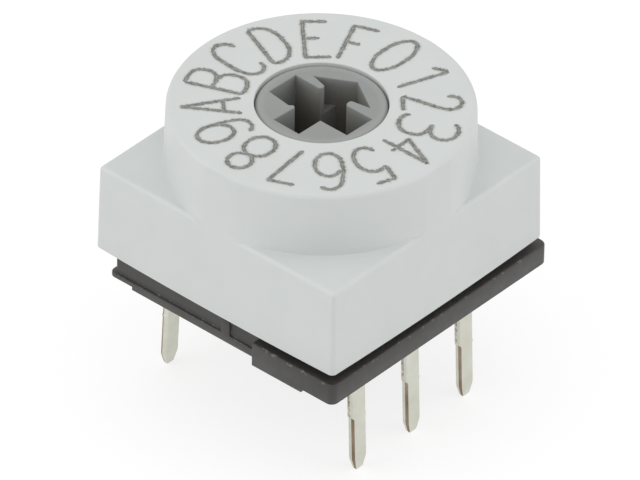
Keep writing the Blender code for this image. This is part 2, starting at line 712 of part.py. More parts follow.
def make_coded_disc(material):
    disc = [(0.0, disc_bottom), (flange_radius, disc_bottom),
            (flange_radius, disc_bottom + DISC_THICKNESS), (0.0, disc_bottom + DISC_THICKNESS)]
    body = finish_object("coded_disc", turned(disc, 96), material)
    keyway = prism(hub_outline(SEAT_GAP), disc_bottom - OUTSIDE, disc_bottom + DISC_THICKNESS + OUTSIDE)
    combine(body, finish_object("keyway", keyway), "DIFFERENCE")
    return body


def window_spans():
    """For each cell round the disc, the tracks that are open there: a track is open where its bit is 0."""
    step = math.tau / TRACK_CELLS
    spans = {}
    for _, _, _, track, angle in TERMINALS:
        if not track:
            continue
        bit = 1 << (track - 1)
        for position in range(POSITIONS):
            if position & bit:
                continue
            middle = math.radians(angle) + position * position_angle
            first = round((middle - position_angle / 2) / step)
            for cell in range(first, first + TRACK_CELLS // POSITIONS):
                spans.setdefault(cell % TRACK_CELLS, set()).add(track)
    return spans


def make_code_track(material):
    """Plated pattern: a plain ring for the common contact, then one ring of windows for each bit."""
    radii = [inner_track - window_half_width]
    for track in range(1, TRACKS):
        radii += [track_radius(track) - window_half_width, track_radius(track) + window_half_width]
    radii.append(radii[-1] + TRACK_BRIDGE / 2)
    step = math.tau / TRACK_CELLS
    bottom, top = track_bottom, disc_bottom - CONTACT_GAP
    bm = bmesh.new()
    grid = {}
    for i in range(TRACK_CELLS):
        x, y = math.cos(i * step), math.sin(i * step)
        for k, radius in enumerate(radii):
            for level, z in enumerate((bottom, top)):
                grid[i, k, level] = bm.verts.new((radius * x, radius * y, z))
    spans = window_spans()
    bands = len(radii) - 1

    def filled(cell, band):
        if not 0 <= band < bands:
            return False
        return band % 2 == 0 or (band + 1) // 2 not in spans.get(cell % TRACK_CELLS, ())

    for i in range(TRACK_CELLS):
        j = (i + 1) % TRACK_CELLS
        for k in range(bands):
            if not filled(i, k):
                continue
            for level in (0, 1):
                corners = ((i, k), (i, k + 1), (j, k + 1), (j, k))
                bm.faces.new([grid[*corner, level] for corner in corners])
            for edge, other in ((k, k - 1), (k + 1, k + 1)):
                if not filled(i, other):
                    corners = ((i, 0), (j, 0), (j, 1), (i, 1))
                    bm.faces.new([grid[cell, edge, level] for cell, level in corners])
            for side, neighbour in ((i, i - 1), (j, i + 1)):
                if not filled(neighbour, k):
                    corners = ((k, 0), (k + 1, 0), (k + 1, 1), (k, 1))
                    bm.faces.new([grid[side, edge, level] for edge, level in corners])
    return finish_object("code_track", bm, material)


def main():
    for old in list(bpy.data.objects):
        bpy.data.objects.remove(old, do_unlink=True)

    housing_plastic = make_material("housing_plastic", (0.62, 0.64, 0.63), 0.45)
    rotor_plastic = make_material("rotor_plastic", (0.36, 0.37, 0.36), 0.5)
    base_plastic = make_material("base_plastic", (0.09, 0.09, 0.088), 0.5)
    tinned_brass = make_material("tinned_brass", (0.66, 0.65, 0.61), 0.35, 1.0)
    spring_bronze = make_material("gold_plated_bronze", (0.83, 0.62, 0.28), 0.3, 1.0)
    spring_steel = make_material("spring_steel", (0.55, 0.55, 0.56), 0.3, 1.0)
    board = make_material("board_laminate", (0.10, 0.26, 0.13), 0.55)
    rubber = make_material("seal_rubber", (0.03, 0.03, 0.03), 0.6)

    make_housing(housing_plastic)
    make_base(base_plastic)
    make_common_link(tinned_brass)
    for name, column, row, track, angle in TERMINALS:
        make_terminal(name, column, row, tinned_brass)
        if track is not None:
            make_contact_spring(name.split("_")[0], column, row, track, angle, spring_bronze)

    make_rotor(rotor_plastic)
    make_rotor_seal(rubber)
    make_detent_spring(spring_steel)
    make_coded_disc(board)
    make_code_track(spring_bronze)


main()
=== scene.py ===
# %% [markdown]
# # A rotary coded switch
# The switch is ten millimetres wide: a pale square housing that turns into a round collar, a grey rotor
# with an arrow-shaped slot, a dark base and six flat legs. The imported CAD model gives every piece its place
# and its size. This script keeps those sizes and adds the finer shape and the finish.
# The solids come first as a frame. Each visible piece is then either carried over with a better material or
# replaced by a finer mesh in the same place.

# %% Load the frame
import math
from itertools import pairwise

import bmesh
import bpy
from mathutils import Matrix, Vector


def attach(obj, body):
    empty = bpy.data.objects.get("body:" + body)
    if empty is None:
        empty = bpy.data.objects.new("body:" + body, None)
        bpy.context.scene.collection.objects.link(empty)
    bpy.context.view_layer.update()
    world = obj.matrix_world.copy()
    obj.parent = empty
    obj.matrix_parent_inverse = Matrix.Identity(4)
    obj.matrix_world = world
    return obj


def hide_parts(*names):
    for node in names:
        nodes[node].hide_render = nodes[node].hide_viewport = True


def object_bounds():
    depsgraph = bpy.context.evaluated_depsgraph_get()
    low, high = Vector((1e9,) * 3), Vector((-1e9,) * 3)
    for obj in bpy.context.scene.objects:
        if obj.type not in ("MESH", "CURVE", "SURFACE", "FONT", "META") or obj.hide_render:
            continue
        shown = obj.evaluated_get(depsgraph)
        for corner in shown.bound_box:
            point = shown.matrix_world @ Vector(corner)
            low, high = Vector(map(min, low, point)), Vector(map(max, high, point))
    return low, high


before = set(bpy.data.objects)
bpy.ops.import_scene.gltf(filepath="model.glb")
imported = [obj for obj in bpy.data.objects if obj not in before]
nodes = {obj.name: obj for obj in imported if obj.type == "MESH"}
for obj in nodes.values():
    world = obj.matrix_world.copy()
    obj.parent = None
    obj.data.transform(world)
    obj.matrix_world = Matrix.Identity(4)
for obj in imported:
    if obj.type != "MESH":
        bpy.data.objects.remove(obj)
cad_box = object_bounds()
MM = 0.001
print("nodes in the frame:", len(nodes))
print("box of the solids in mm:", [[round(v / MM, 2) for v in corner] for corner in cad_box])

# %% [markdown]
# ## Camera
# The switch was photographed from above one corner with a long lens, so its edges hardly converge. A camera
# could be aimed with a Track To constraint, but this one also rolls by a degree. Its axes are worked out
# from azimuth, elevation and roll, and written straight into its matrix.

# %% Stand the camera above the front corner
CAMERA_AZIMUTH = math.radians(-49.058)
CAMERA_ELEVATION = math.radians(37.042)
CAMERA_ROLL = math.radians(1.093)
CAMERA_DISTANCE = 382.88 * MM
CAMERA_TARGET = Vector((-2.438, -2.154, 3.62)) * MM
FOCAL_LENGTH, SENSOR_WIDTH = 695.1, 36.0
CLIP_START, CLIP_END = 0.02, 20.0


def in_scene(name, data):
    """Make an object of a mesh, curve, lamp or lens and link it to the scene."""
    made = bpy.data.objects.new(name, data)
    bpy.context.collection.objects.link(made)
    return made


level = math.cos(CAMERA_ELEVATION)
back = Vector((
    math.sin(CAMERA_AZIMUTH) * level, -math.cos(CAMERA_AZIMUTH) * level, math.sin(CAMERA_ELEVATION)))
flat_right = Vector((math.cos(CAMERA_AZIMUTH), math.sin(CAMERA_AZIMUTH), 0.0))
flat_up = back.cross(flat_right)
right = math.cos(CAMERA_ROLL) * flat_right + math.sin(CAMERA_ROLL) * flat_up
up = math.cos(CAMERA_ROLL) * flat_up - math.sin(CAMERA_ROLL) * flat_right

lens = bpy.data.cameras.new("photo_lens")
lens.lens, lens.sensor_width = FOCAL_LENGTH, SENSOR_WIDTH
lens.clip_start, lens.clip_end = CLIP_START, CLIP_END
camera = in_scene("photo_camera", lens)
camera.matrix_world = Matrix.Translation(CAMERA_TARGET + back * CAMERA_DISTANCE) @ Matrix((
    (right.x, up.x, back.x), (right.y, up.y, back.y), (right.z, up.z, back.z))).to_4x4()
bpy.context.scene.camera = camera
bpy.context.scene.view_settings.view_transform = "Standard"
print("camera stands at mm", [round(v / MM, 1) for v in camera.matrix_world.translation])

# %% [markdown]
# ## Nodes by the handful
# Every material and every Geometry Nodes tree below is a handful of nodes joined by links. Adding them one
# call at a time is long-winded, so one helper adds a node, sets its options and fills its sockets, either
# with a number or with another node's output. Two smaller ones do arithmetic and start a material.

# %% Helpers that add nodes
def add(tree, kind, sockets=None, **options):
    """Add a node; sockets maps an input's name or index to a value or to an output."""
    node = tree.nodes.new(kind)
    for option, value in options.items():
        setattr(node, option, value)
    for key, value in (sockets or {}).items():
        if isinstance(value, bpy.types.NodeSocket):
            tree.links.new(value, node.inputs[key])
        else:
            node.inputs[key].default_value = value
    return node


def maths(tree, operation, *values):
    """One step of arithmetic with numbers or outputs."""
    return add(tree, "ShaderNodeMath", dict(enumerate(values)), operation=operation).outputs[0]


def new_finish(name, metallic=0.0):
    """A new material with its node tree and its shader."""
    material = bpy.data.materials.new(name)
    material.use_nodes = True
    shader = material.node_tree.nodes["Principled BSDF"]
    shader.inputs["Metallic"].default_value = metallic
    return material, material.node_tree, shader


print("helpers:", add.__name__, maths.__name__, new_finish.__name__)

# %% [markdown]
# ## Studio
# The part stood in soft light from all sides on plain white. A photographer would use a light tent: the
# world is that tent here, and two broad lamps and a top lamp give the faces their small differences.
# The world is white to the camera and in reflections, and dimmer as a light, so that the pale plastic
# doesn't clip. The floor lies at the tips of the legs. It glows a little for those rays that show the
# background, which makes it white and leaves the soft shadow. From below it is clear, so the underside
# shows.

# %% World and lamps
WORLD_LIGHT, LAMP_DISTANCE = 0.72, 0.4


def background_rays(tree):
    """1 for rays that show the background: from the camera, reflected or let through; else 0."""
    rays = add(tree, "ShaderNodeLightPath").outputs
    seen = maths(tree, "MAXIMUM", rays["Is Camera Ray"], rays["Is Glossy Ray"])
    return maths(tree, "MAXIMUM", seen, rays["Is Transmission Ray"])


world = bpy.data.worlds.new("light_tent")
world.use_nodes = True
bpy.context.scene.world = world
tree = world.node_tree
tent = add(tree, "ShaderNodeMapRange", {
    "Value": background_rays(tree), "To Min": WORLD_LIGHT, "To Max": 1.0})
sky = tree.nodes["Background"]
sky.inputs["Color"].default_value = (1.0, 1.0, 1.0, 1.0)
tree.links.new(tent.outputs[0], sky.inputs["Strength"])


def lamp(name, azimuth, elevation, watts, width):
    """Square area lamp at arm's length from the switch, turned to face it."""
    light = bpy.data.lights.new(name, "AREA")
    light.energy, light.size = watts, width
    turn, rise = math.radians(azimuth), math.radians(elevation)
    away = Vector((math.sin(turn) * math.cos(rise), -math.cos(turn) * math.cos(rise), math.sin(rise)))
    stand = in_scene(name, light)
    stand.location = away * LAMP_DISTANCE
    stand.rotation_euler = away.to_track_quat("Z", "Y").to_euler()
    print("lamp", name, "at mm", [round(v / MM) for v in stand.location])


lamp("left_softbox", -125, 30, 0.34, 0.30)
lamp("right_softbox", 35, 30, 0.26, 0.30)
lamp("top_softbox", -60, 82, 0.24, 0.40)

# %% Floor
FLOOR_REACH, FLOOR_GLOW = 3.0, 0.75
PAPER_LIT, PAPER_SEEN = 0.90, 0.30

floor_paper, tree, shader = new_finish("floor_paper")
tree.nodes.remove(shader)
seen = background_rays(tree)
tone = add(tree, "ShaderNodeMapRange", {"Value": seen, "To Min": PAPER_LIT, "To Max": PAPER_SEEN})
paper = add(tree, "ShaderNodeBsdfDiffuse", {"Color": tone.outputs[0]})
shine = add(tree, "ShaderNodeEmission", {"Strength": maths(tree, "MULTIPLY", seen, FLOOR_GLOW)})
both = add(tree, "ShaderNodeAddShader", {0: paper.outputs[0], 1: shine.outputs[0]})
clear = add(tree, "ShaderNodeBsdfTransparent")
side = add(tree, "ShaderNodeNewGeometry")
sheet = add(tree, "ShaderNodeMixShader", {
    0: side.outputs["Backfacing"], 1: both.outputs[0], 2: clear.outputs[0]})
tree.links.new(sheet.outputs[0], tree.nodes["Material Output"].inputs["Surface"])

leg_tip = cad_box[0][2]
floor_mesh = bpy.data.meshes.new("floor")
corners = [(x * FLOOR_REACH, y * FLOOR_REACH, leg_tip) for x, y in ((-1, -1), (1, -1), (1, 1), (-1, 1))]
floor_mesh.from_pydata(corners, [], [(0, 1, 2, 3)])
floor_mesh.materials.append(floor_paper)
floor = in_scene("floor", floor_mesh)
print("floor at mm", round(leg_tip / MM, 2))

# %% [markdown]
# ## Moulded plastic
# Three parts are injection moulded: the housing, the rotor and the base. The mould's eroded surface leaves
# a fine satin grain on them, and the melt leaves faint cloudy changes of tone. A photo texture would be
# stretched on the curved collar, so the grain is noise read from Object coordinates, which needs no
# unwrapping. Two sizes of noise are added up: the grain and a slower waviness.

# %% A maker of moulded finishes
CLOUD, GLOSS_PATCH, GRAIN, WAVE = 1.6 * MM, 0.30 * MM, 0.045 * MM, 0.5 * MM
GRAIN_SHARE, WAVE_SHARE, GLOSS_SWING = 0.7, 1.6, 0.05


def noise(tree, size, detail=2.0, roughness=0.5):
    """Noise whose patches are about one size across, read from the piece's own coordinates."""
    place = add(tree, "ShaderNodeTexCoord").outputs["Object"]
    sockets = {"Vector": place, "Scale": 1.0 / size, "Detail": detail, "Roughness": roughness}
    return add(tree, "ShaderNodeTexNoise", sockets).outputs["Fac"]


def spread(tree, value, low, high, start=0.3, end=0.7):
    """Map the useful middle of a noise to a span of values."""
    sockets = {"Value": value, "From Min": start, "From Max": end, "To Min": low, "To Max": high}
    return add(tree, "ShaderNodeMapRange", sockets).outputs["Result"]


def blend_colours(tree, share, first, second):
    """Mix two colours by a share from 0 to 1."""
    mix = add(tree, "ShaderNodeMix", data_type="RGBA")
    for name, value in (("A_Color", first), ("B_Color", second), ("Factor_Float", share)):
        socket = next(s for s in mix.inputs if s.identifier == name)
        if isinstance(value, bpy.types.NodeSocket):
            tree.links.new(value, socket)
        else:
            socket.default_value = (*value, 1.0) if name != "Factor_Float" else value
    return next(s for s in mix.outputs if s.identifier == "Result_Color")


def mottled(tree, size, detail, first, second):
    """Drift between two colours in patches."""
    return blend_colours(tree, spread(tree, noise(tree, size, detail), 0.0, 1.0), first, second)


def surface(tree, shader, colour, roughness, grain_depth, *grains):
    """Wire a finish; its bump adds up the grains, each given with its share."""
    total = 0.0
    for value, share in grains:
        total = maths(tree, "MULTIPLY_ADD", value, share, total)
    bump = add(tree, "ShaderNodeBump", {"Height": total, "Distance": grain_depth, "Strength": 1.0})
    for name, value in (("Base Color", colour), ("Roughness", roughness), ("Normal", bump.outputs[0])):
        tree.links.new(value, shader.inputs[name])


def moulded(name, colour, cloudy, roughness, grain_depth):
    """Satin injection moulding: cloudy colour, uneven gloss and a fine eroded grain."""
    material, tree, shader = new_finish(name)
    darker = tuple(c * (1 - cloudy) for c in colour)
    cloud = mottled(tree, CLOUD, 3.0, darker, colour)
    gloss = spread(tree, noise(tree, GLOSS_PATCH, 3.0), roughness - GLOSS_SWING, roughness + GLOSS_SWING)
    surface(tree, shader, cloud, gloss, grain_depth,
            (noise(tree, GRAIN), GRAIN_SHARE), (noise(tree, WAVE), WAVE_SHARE))
    return material


def towards(material, share, colour):
    """Mix a finish's colour towards another one by a share."""
    tree = material.node_tree
    base = tree.nodes["Principled BSDF"].inputs["Base Color"]
    tree.links.new(blend_colours(tree, share, base.links[0].from_socket, colour), base)


housing_finish = moulded("housing_moulding", (0.640, 0.665, 0.655), 0.03, 0.46, 0.0022 * MM)
print("made", housing_finish.name)

# %% [markdown]
# ## Housing: from square to round
# The housing is one moulding. Its skirt is a square with small round corners and slightly sloping sides.
# Its collar is nearly a cylinder, as wide as the square, so in the middle of each side the collar runs
# straight into the skirt, and only the four corners have a ledge. Joining a box and a cylinder with a
# Boolean gives that shape with rough creases. This shape follows a rule, so it is lofted instead: for
# every direction round the axis, each level has one radius, the wider of box and collar, or the narrower.
# Rounding that choice off a little gives the soft creases of a real mould. The skirt's sides bow out by
# a few hundredths of a millimetre towards the bottom, as the photo's lower edge shows.

# %% The rule of the housing's outline
HALF = 5.0 * MM
BOTTOM, SHOULDER, RIM = 1.14 * MM, 4.26 * MM, 6.52 * MM
SIDE_SLOPE = math.tan(math.radians(2.0))
CORNER_CENTRE, LEAST_CORNER = 4.77 * MM, 0.08 * MM
SHOULDER_ROUND, RIM_ROUND = 0.15 * MM, 0.20 * MM
COLLAR_FOOT, COLLAR_TOP, COLLAR_END = 4.921 * MM, 4.850 * MM, RIM - RIM_ROUND
CREASE = 0.006 * MM
BOW, PINCH = 0.075 * MM, 0.035 * MM
QUARTER = math.pi / 2


def off_axis(turn):
    """Angle between a direction and the middle of the side that it meets."""
    return abs((turn + QUARTER / 2) % QUARTER - QUARTER / 2)


def square_radius(turn, half, corner_round):
    """Distance from the axis to a square with round corners, in one direction."""
    off, centre = off_axis(turn), half - corner_round
    if half * math.tan(off) <= centre:
        return half / math.cos(off)
    off_corner = QUARTER / 2 - off
    reach = corner_round ** 2 - 2 * (centre * math.sin(off_corner)) ** 2
    return math.sqrt(2) * centre * math.cos(off_corner) + math.sqrt(max(reach, 0.0))


def side_radius(turn, z, inset=0.0):
    """The skirt: sides that slope in towards the top and bow out towards the bottom."""
    along = min(HALF * math.tan(off_axis(turn)) / CORNER_CENTRE, 1.0)
    depth = max((SHOULDER - z) / (SHOULDER - BOTTOM), 0.0)
    half = HALF - (z - BOTTOM) * SIDE_SLOPE - inset + (BOW * (1 - along ** 2) - PINCH) * depth
    return square_radius(turn, half, max(half - CORNER_CENTRE, LEAST_CORNER))


def narrower(a, b):
    """The smaller of two radii, with the crease between them rounded off."""
    return min(a, b) - CREASE * math.log1p(math.exp(-abs(a - b) / CREASE))


def wider(a, b):
    return -narrower(-a, -b)


def collar_radius(turn, z, grow=0.0):
    """The collar: a slight cone with a rounded rim, cut by the skirt's sides."""
    share = (z - SHOULDER) / (COLLAR_END - SHOULDER)
    cone = COLLAR_FOOT + (COLLAR_TOP - COLLAR_FOOT) * share + grow
    if z > COLLAR_END:
        cone = COLLAR_TOP - RIM_ROUND + math.sqrt(max(RIM_ROUND ** 2 - (z - COLLAR_END) ** 2, 0.0))
    return narrower(cone, side_radius(turn, z))


print("half width of the flush flat at the shoulder in mm:",
      round(math.sqrt(COLLAR_FOOT ** 2 - (HALF - (SHOULDER - BOTTOM) * SIDE_SLOPE) ** 2) / MM, 3))

# %% [markdown]
# Inside, the skirt is hollow and square, and above it is the round chamber that the rotor's flange turns
# in. Sixteen shallow notches in the chamber's wall give the switch its clicks. All of it is the same
# loft carried on, in over the rim, down the bore and back along the inner walls to where it began.

# %% Levels of the housing, from the outer edge round to the inner one
BORE, SLEEVE, CREST, CHAMBER = 2.11 * MM, 2.91 * MM, 4.150 * MM, 4.25 * MM
GROOVE_BOTTOM, GROOVE_TOP, GROOVE = 4.58 * MM, 5.06 * MM, 2.55 * MM
SLEEVE_BOTTOM, ROOF, CEILING = 4.43 * MM, 5.67 * MM, 2.60 * MM
NOTCH_BOTTOM, NOTCH_TOP, NOTCH_DEPTH = 3.73 * MM, 4.38 * MM, 0.07 * MM
POSITIONS = 16
SKIRT_HALF, SKIRT_TOP_HALF, SKIRT_ROUND = 4.40 * MM, 4.3745 * MM, 0.23 * MM
EDGE, BORE_EDGE, TOP_LAND = 0.03 * MM, 0.02 * MM, 1.2 * MM
BETWEEN = (0.25, 0.5, 0.75)


def notched(turn, z):
    return CREST + NOTCH_DEPTH * (1 + math.cos(POSITIONS * turn)) / 2


def quarter_turn(steps):
    return [QUARTER * step / steps for step in range(steps + 1)]


def housing_levels():
    """Each level is a height and a rule that gives the radius for a direction and that height."""
    levels = []
    for swing in quarter_turn(3):
        rule = lambda t, z, inset=EDGE * (1 - math.sin(swing)): side_radius(t, z, inset)
        levels.append((BOTTOM + EDGE * (1 - math.cos(swing)), rule))
    fillet_start = SHOULDER - SHOULDER_ROUND
    levels += [(BOTTOM + (fillet_start - BOTTOM) * share, side_radius) for share in BETWEEN]
    for swing in quarter_turn(7):
        rule = lambda t, z, inset=SHOULDER_ROUND * (1 - math.cos(swing)): wider(
            side_radius(t, z, inset), collar_radius(t, z, EDGE))
        levels.append((fillet_start + SHOULDER_ROUND * math.sin(swing), rule))
    for swing in quarter_turn(3):
        rule = lambda t, z, grow=EDGE * (1 - math.sin(swing)): collar_radius(t, z, grow)
        levels.append((SHOULDER + EDGE * (1 - math.cos(swing)), rule))
    levels += [(SHOULDER + (COLLAR_END - SHOULDER) * share, collar_radius) for share in BETWEEN]
    levels += [(COLLAR_END + RIM_ROUND * math.sin(swing), collar_radius) for swing in quarter_turn(8)]
    for radius, height in (
        (BORE + TOP_LAND, RIM), (BORE + BORE_EDGE, RIM), (BORE, RIM - BORE_EDGE), (BORE, GROOVE_TOP),
        (GROOVE, GROOVE_TOP), (GROOVE, GROOVE_BOTTOM), (BORE, GROOVE_BOTTOM), (BORE, SLEEVE_BOTTOM),
        (SLEEVE, SLEEVE_BOTTOM), (SLEEVE, ROOF), (CREST, ROOF), (CREST, NOTCH_TOP),
    ):
        levels.append((height, lambda t, z, radius=radius: radius))
    levels += [(NOTCH_TOP, notched), (NOTCH_BOTTOM, notched)]
    levels += [(height, lambda t, z: CHAMBER) for height in (NOTCH_BOTTOM, CEILING)]
    levels.append((CEILING, lambda t, z: square_radius(t, SKIRT_TOP_HALF, SKIRT_ROUND)))
    levels.append((BOTTOM, lambda t, z: square_radius(t, SKIRT_HALF, SKIRT_ROUND)))
    return levels


print("levels of the housing:", len(housing_levels()))

# %% [markdown]
# The directions are not spread evenly. A square's round corner covers barely three degrees as seen from
# the axis, and the creases beside the flush flats cross the levels at a slant, so both places get many
# more directions than the rest.

# %% Loft the housing
FAN = ((0, 5, 1.0), (5, 17, 0.25), (17, 43, 1.0), (43, 45, 0.125))
SHARP, WELD = 30.0, 0.0002 * MM


def housing_directions():
    """FAN gives first angle, last angle and step for an eighth of a turn; the rest mirrors it."""
    eighth = [first + step * i for first, last, step in FAN for i in range(round((last - first) / step))]
    quarter = eighth + [45.0] + [90 - angle for angle in reversed(eighth[1:])]
    return [math.radians(angle + 90 * side) for side in range(4) for angle in quarter]


def crisp(mesh):
    mesh.shade_smooth()
    mesh.set_sharp_from_angle(angle=math.radians(SHARP))


def mesh_piece(name, bm, finish, merge=WELD):
    """Merge doubles, turn the faces outwards and make an object with crisp edges."""
    bmesh.ops.remove_doubles(bm, verts=bm.verts, dist=merge)
    bmesh.ops.dissolve_degenerate(bm, edges=bm.edges, dist=merge)
    bmesh.ops.recalc_face_normals(bm, faces=bm.faces)
    mesh = bpy.data.meshes.new(name)
    bm.to_mesh(mesh)
    bm.free()
    if finish:
        mesh.materials.append(finish)
    crisp(mesh)
    return in_scene(name, mesh)


def ring_faces(bm, rings, closed):
    """Quads between rings of vertices, and from the last ring to the first where the tube is closed."""
    for here, there in [*pairwise(rings), *([(rings[-1], rings[0])] if closed else [])]:
        for i in range(len(here)):
            j = (i + 1) % len(here)
            bm.faces.new((here[i], here[j], there[j], there[i]))


directions = housing_directions()
bm = bmesh.new()
rings = []
for z, rule in housing_levels():
    radii = [(t, rule(t, z)) for t in directions]
    rings.append([bm.verts.new((radius * math.cos(t), radius * math.sin(t), z)) for t, radius in radii])
ring_faces(bm, rings, closed=True)
housing = mesh_piece("housing_shell", bm, housing_finish)
print("housing:", len(directions), "directions,", len(housing.data.polygons), "faces")

# %% [markdown]
# Two things inside don't follow the rule: the round pockets that keep the corners from sinking as the
# plastic cools, and the two windows that the base's noses click into. They are cut with the Boolean
# modifier, which is then applied, because a finished piece should be a plain mesh.

# %% Cut the pockets and the click windows
def outline_arc(centre, radius, start, end, steps):
    turns = (start + (end - start) * i / steps for i in range(steps + 1))
    return [(centre[0] + radius * math.cos(t), centre[1] + radius * math.sin(t)) for t in turns]


def circle(centre, radius, steps):
    return outline_arc(centre, radius, 0, math.tau, steps)[:-1]


def stacked(name, sections):
    """Closed solid through level outlines that all have the same number of points."""
    bm = bmesh.new()
    rings = [[bm.verts.new((x, y, z)) for x, y in outline] for outline, z in sections]
    ring_faces(bm, rings, closed=False)
    bm.faces.new(rings[0])
    bm.faces.new(rings[-1])
    return mesh_piece(name, bm, None)


def prism(name, outline, bottom, top):
    return stacked(name, ((outline, bottom), (outline, top)))


def cut(piece, tools, operation="DIFFERENCE"):
    """Apply Booleans one after another and remove the tools."""
    for tool in tools:
        modifier = piece.modifiers.new(tool.name, "BOOLEAN")
        modifier.operation = operation
        modifier.solver = "EXACT"
        modifier.object = tool
    plain(piece)
    for tool in tools:
        bpy.data.objects.remove(tool)


def evaluated(piece):
    """What a piece's modifiers give, as a new mesh."""
    graph = bpy.context.evaluated_depsgraph_get()
    graph.update()
    return bpy.data.meshes.new_from_object(piece.evaluated_get(graph))


def plain(piece):
    """Replace a piece's mesh by what its modifiers give, and drop the modifiers."""
    made = evaluated(piece)
    piece.modifiers.clear()
    finishes = [finish for finish in made.materials if finish]
    made.materials.clear()
    for finish in finishes:
        made.materials.append(finish)
    made.polygons.foreach_set("material_index", [0] * len(made.polygons))
    piece.data = made
    made.name = piece.name
    crisp(made)


POCKET_RADIUS, POCKET_SPREAD, POCKET_TOP, OVERLAP = 0.62 * MM, 3.7026 * MM, 3.70 * MM, 0.5 * MM
SNAP_BOTTOM, SNAP_TOP = 1.52 * MM, 2.08 * MM
SNAP_START, SNAP_REACH, SNAP_HALF = 4.2 * MM, 4.55 * MM, 0.63 * MM
tools = []
for sx in (-1, 1):
    for sy in (-1, 1):
        outline = circle((sx * POCKET_SPREAD, sy * POCKET_SPREAD), POCKET_RADIUS, 32)
        tools.append(prism("pocket", outline, CEILING - OVERLAP, POCKET_TOP))
    window = ((sx * SNAP_START, -SNAP_HALF), (sx * SNAP_REACH, -SNAP_HALF),
              (sx * SNAP_REACH, SNAP_HALF), (sx * SNAP_START, SNAP_HALF))
    tools.append(prism("click_window", window, SNAP_BOTTOM, SNAP_TOP))
cut(housing, tools)
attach(housing, "switch_body")
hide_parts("housing")
print("housing after the cuts:", len(housing.data.polygons), "faces")

# %% [markdown]
# ## Rotor: turned, then cut
# The rotor is round, so it is lathe work: one profile swept round the axis. The Screw modifier or a spin
# would do it. A Geometry Nodes lathe is used here, because its tree takes any profile and any number of
# segments: a grid gets one row of points for each point of the profile, and each point is moved to its
# radius and its turn.

# %% A lathe in Geometry Nodes
def start_tree(name, inputs, result):
    """A Geometry Nodes tree with named inputs and one geometry output."""
    tree = bpy.data.node_groups.new(name, "GeometryNodeTree")
    for label, kind in inputs.items():
        tree.interface.new_socket(label, in_out="INPUT", socket_type="NodeSocket" + kind)
    tree.interface.new_socket(result, in_out="OUTPUT", socket_type="NodeSocketGeometry")
    return tree, add(tree, "NodeGroupInput").outputs


def end_tree(tree, shape, finish):
    """Make instances real, give the shape its material and hand it out."""
    real = add(tree, "GeometryNodeRealizeInstances", {"Geometry": shape.outputs[0]})
    dressed = add(tree, "GeometryNodeSetMaterial", {"Geometry": real.outputs[0], "Material": finish})
    add(tree, "NodeGroupOutput", {0: dressed.outputs[0]})
    return tree


def lathe_tree():
    tree, given = start_tree("lathe", {
        "Profile": "Geometry", "Points": "Int", "Segments": "Int", "Weld": "Float", "Finish": "Material",
    }, "Turned")
    around = maths(tree, "ADD", given["Segments"], 1.0)
    grid = add(tree, "GeometryNodeMeshGrid", {"Vertices X": around, "Vertices Y": given["Points"]})
    index = add(tree, "GeometryNodeInputIndex").outputs[0]
    point = maths(tree, "MODULO", index, given["Points"])
    station = maths(tree, "FLOOR", maths(tree, "DIVIDE", index, given["Points"]))
    turn = maths(tree, "MULTIPLY", maths(tree, "DIVIDE", station, given["Segments"]), math.tau)
    taken = add(tree, "GeometryNodeSampleIndex", {
        "Geometry": given["Profile"], "Value": add(tree, "GeometryNodeInputPosition").outputs[0],
        "Index": point}, data_type="FLOAT_VECTOR", domain="POINT")
    placed = add(tree, "ShaderNodeVectorRotate", {"Vector": taken.outputs[0], "Angle": turn},
                 rotation_type="Z_AXIS")
    moved = add(tree, "GeometryNodeSetPosition", {
        "Geometry": grid.outputs[0], "Position": placed.outputs[0]})
    welded = add(tree, "GeometryNodeMergeByDistance", {
        "Geometry": moved.outputs[0], "Distance": given["Weld"]})
    return end_tree(tree, welded, given["Finish"])


def hang_tree(piece, tree, values):
    """Hang a tree on a piece and set its named inputs."""
    modifier = piece.modifiers.new(tree.name, "NODES")
    modifier.node_group = tree
    for item in tree.interface.items_tree:
        if item.in_out == "INPUT" and item.name in values:
            modifier[item.identifier] = values[item.name]


LATHE_WELD = 0.0005 * MM
lathe = lathe_tree()


def turned(name, profile, segments, finish):
    """Turn a profile of (radius, height) round the axis."""
    mesh = bpy.data.meshes.new(name)
    mesh.from_pydata([(radius, 0.0, z) for radius, z in profile], [], [])
    piece = in_scene(name, mesh)
    hang_tree(piece, lathe, {
        "Points": len(profile), "Segments": segments, "Weld": LATHE_WELD, "Finish": finish})
    plain(piece)
    bm = bmesh.new()
    bm.from_mesh(piece.data)
    bmesh.ops.remove_doubles(bm, verts=bm.verts, dist=LATHE_WELD)
    bmesh.ops.recalc_face_normals(bm, faces=bm.faces)
    bm.to_mesh(piece.data)
    bm.free()
    crisp(piece.data)
    return piece


print("lathe nodes:", len(lathe.nodes))

# %% [markdown]
# The rotor's top is a plain disc with a narrow chamfer, just below the collar's top. Its knob runs down
# through the seal, which sits in a groove of the housing's bore, to the drum inside the detent spring,
# the flange, and the hub that carries the coded disc. The slot is cut in two depths: the arrowhead's
# barbs are shallow, and the cross that takes the screwdriver's blade is deep. The two tongues beside the
# arrowhead have round ends, and a small nib is left at one corner of the cross. The cutters flare a
# little at the very top, which breaks the slot's edge as on the real rotor. The finish has a painted
# highlight, a lighter band near the top's edge, and painted shade in the slot: the walls are painted
# darker and warmer with depth, and least on the walls that face the front, which a face attribute
# marks once the slot is cut.

# %% Finish of the rotor
# Painted highlight: a lighter band on the top near its edge, where a shallow rounding would catch light.
RIM_HIGHLIGHT_BAND, RIM_HIGHLIGHT_COLOUR = (1.74 * MM, 1.92 * MM), (0.325, 0.335, 0.320)
# Painted shade for the slot's walls: darker and warmer with depth, and less on the walls that face the front.
FRONT_LESS_SHADE = -0.55
SLOT_PAINTED_SHADE = (
    (0.50, 6.15 * MM, 6.44 * MM, (0.150, 0.135, 0.115)),
    (0.55, 4.90 * MM, 6.10 * MM, (0.080, 0.066, 0.050)),
)


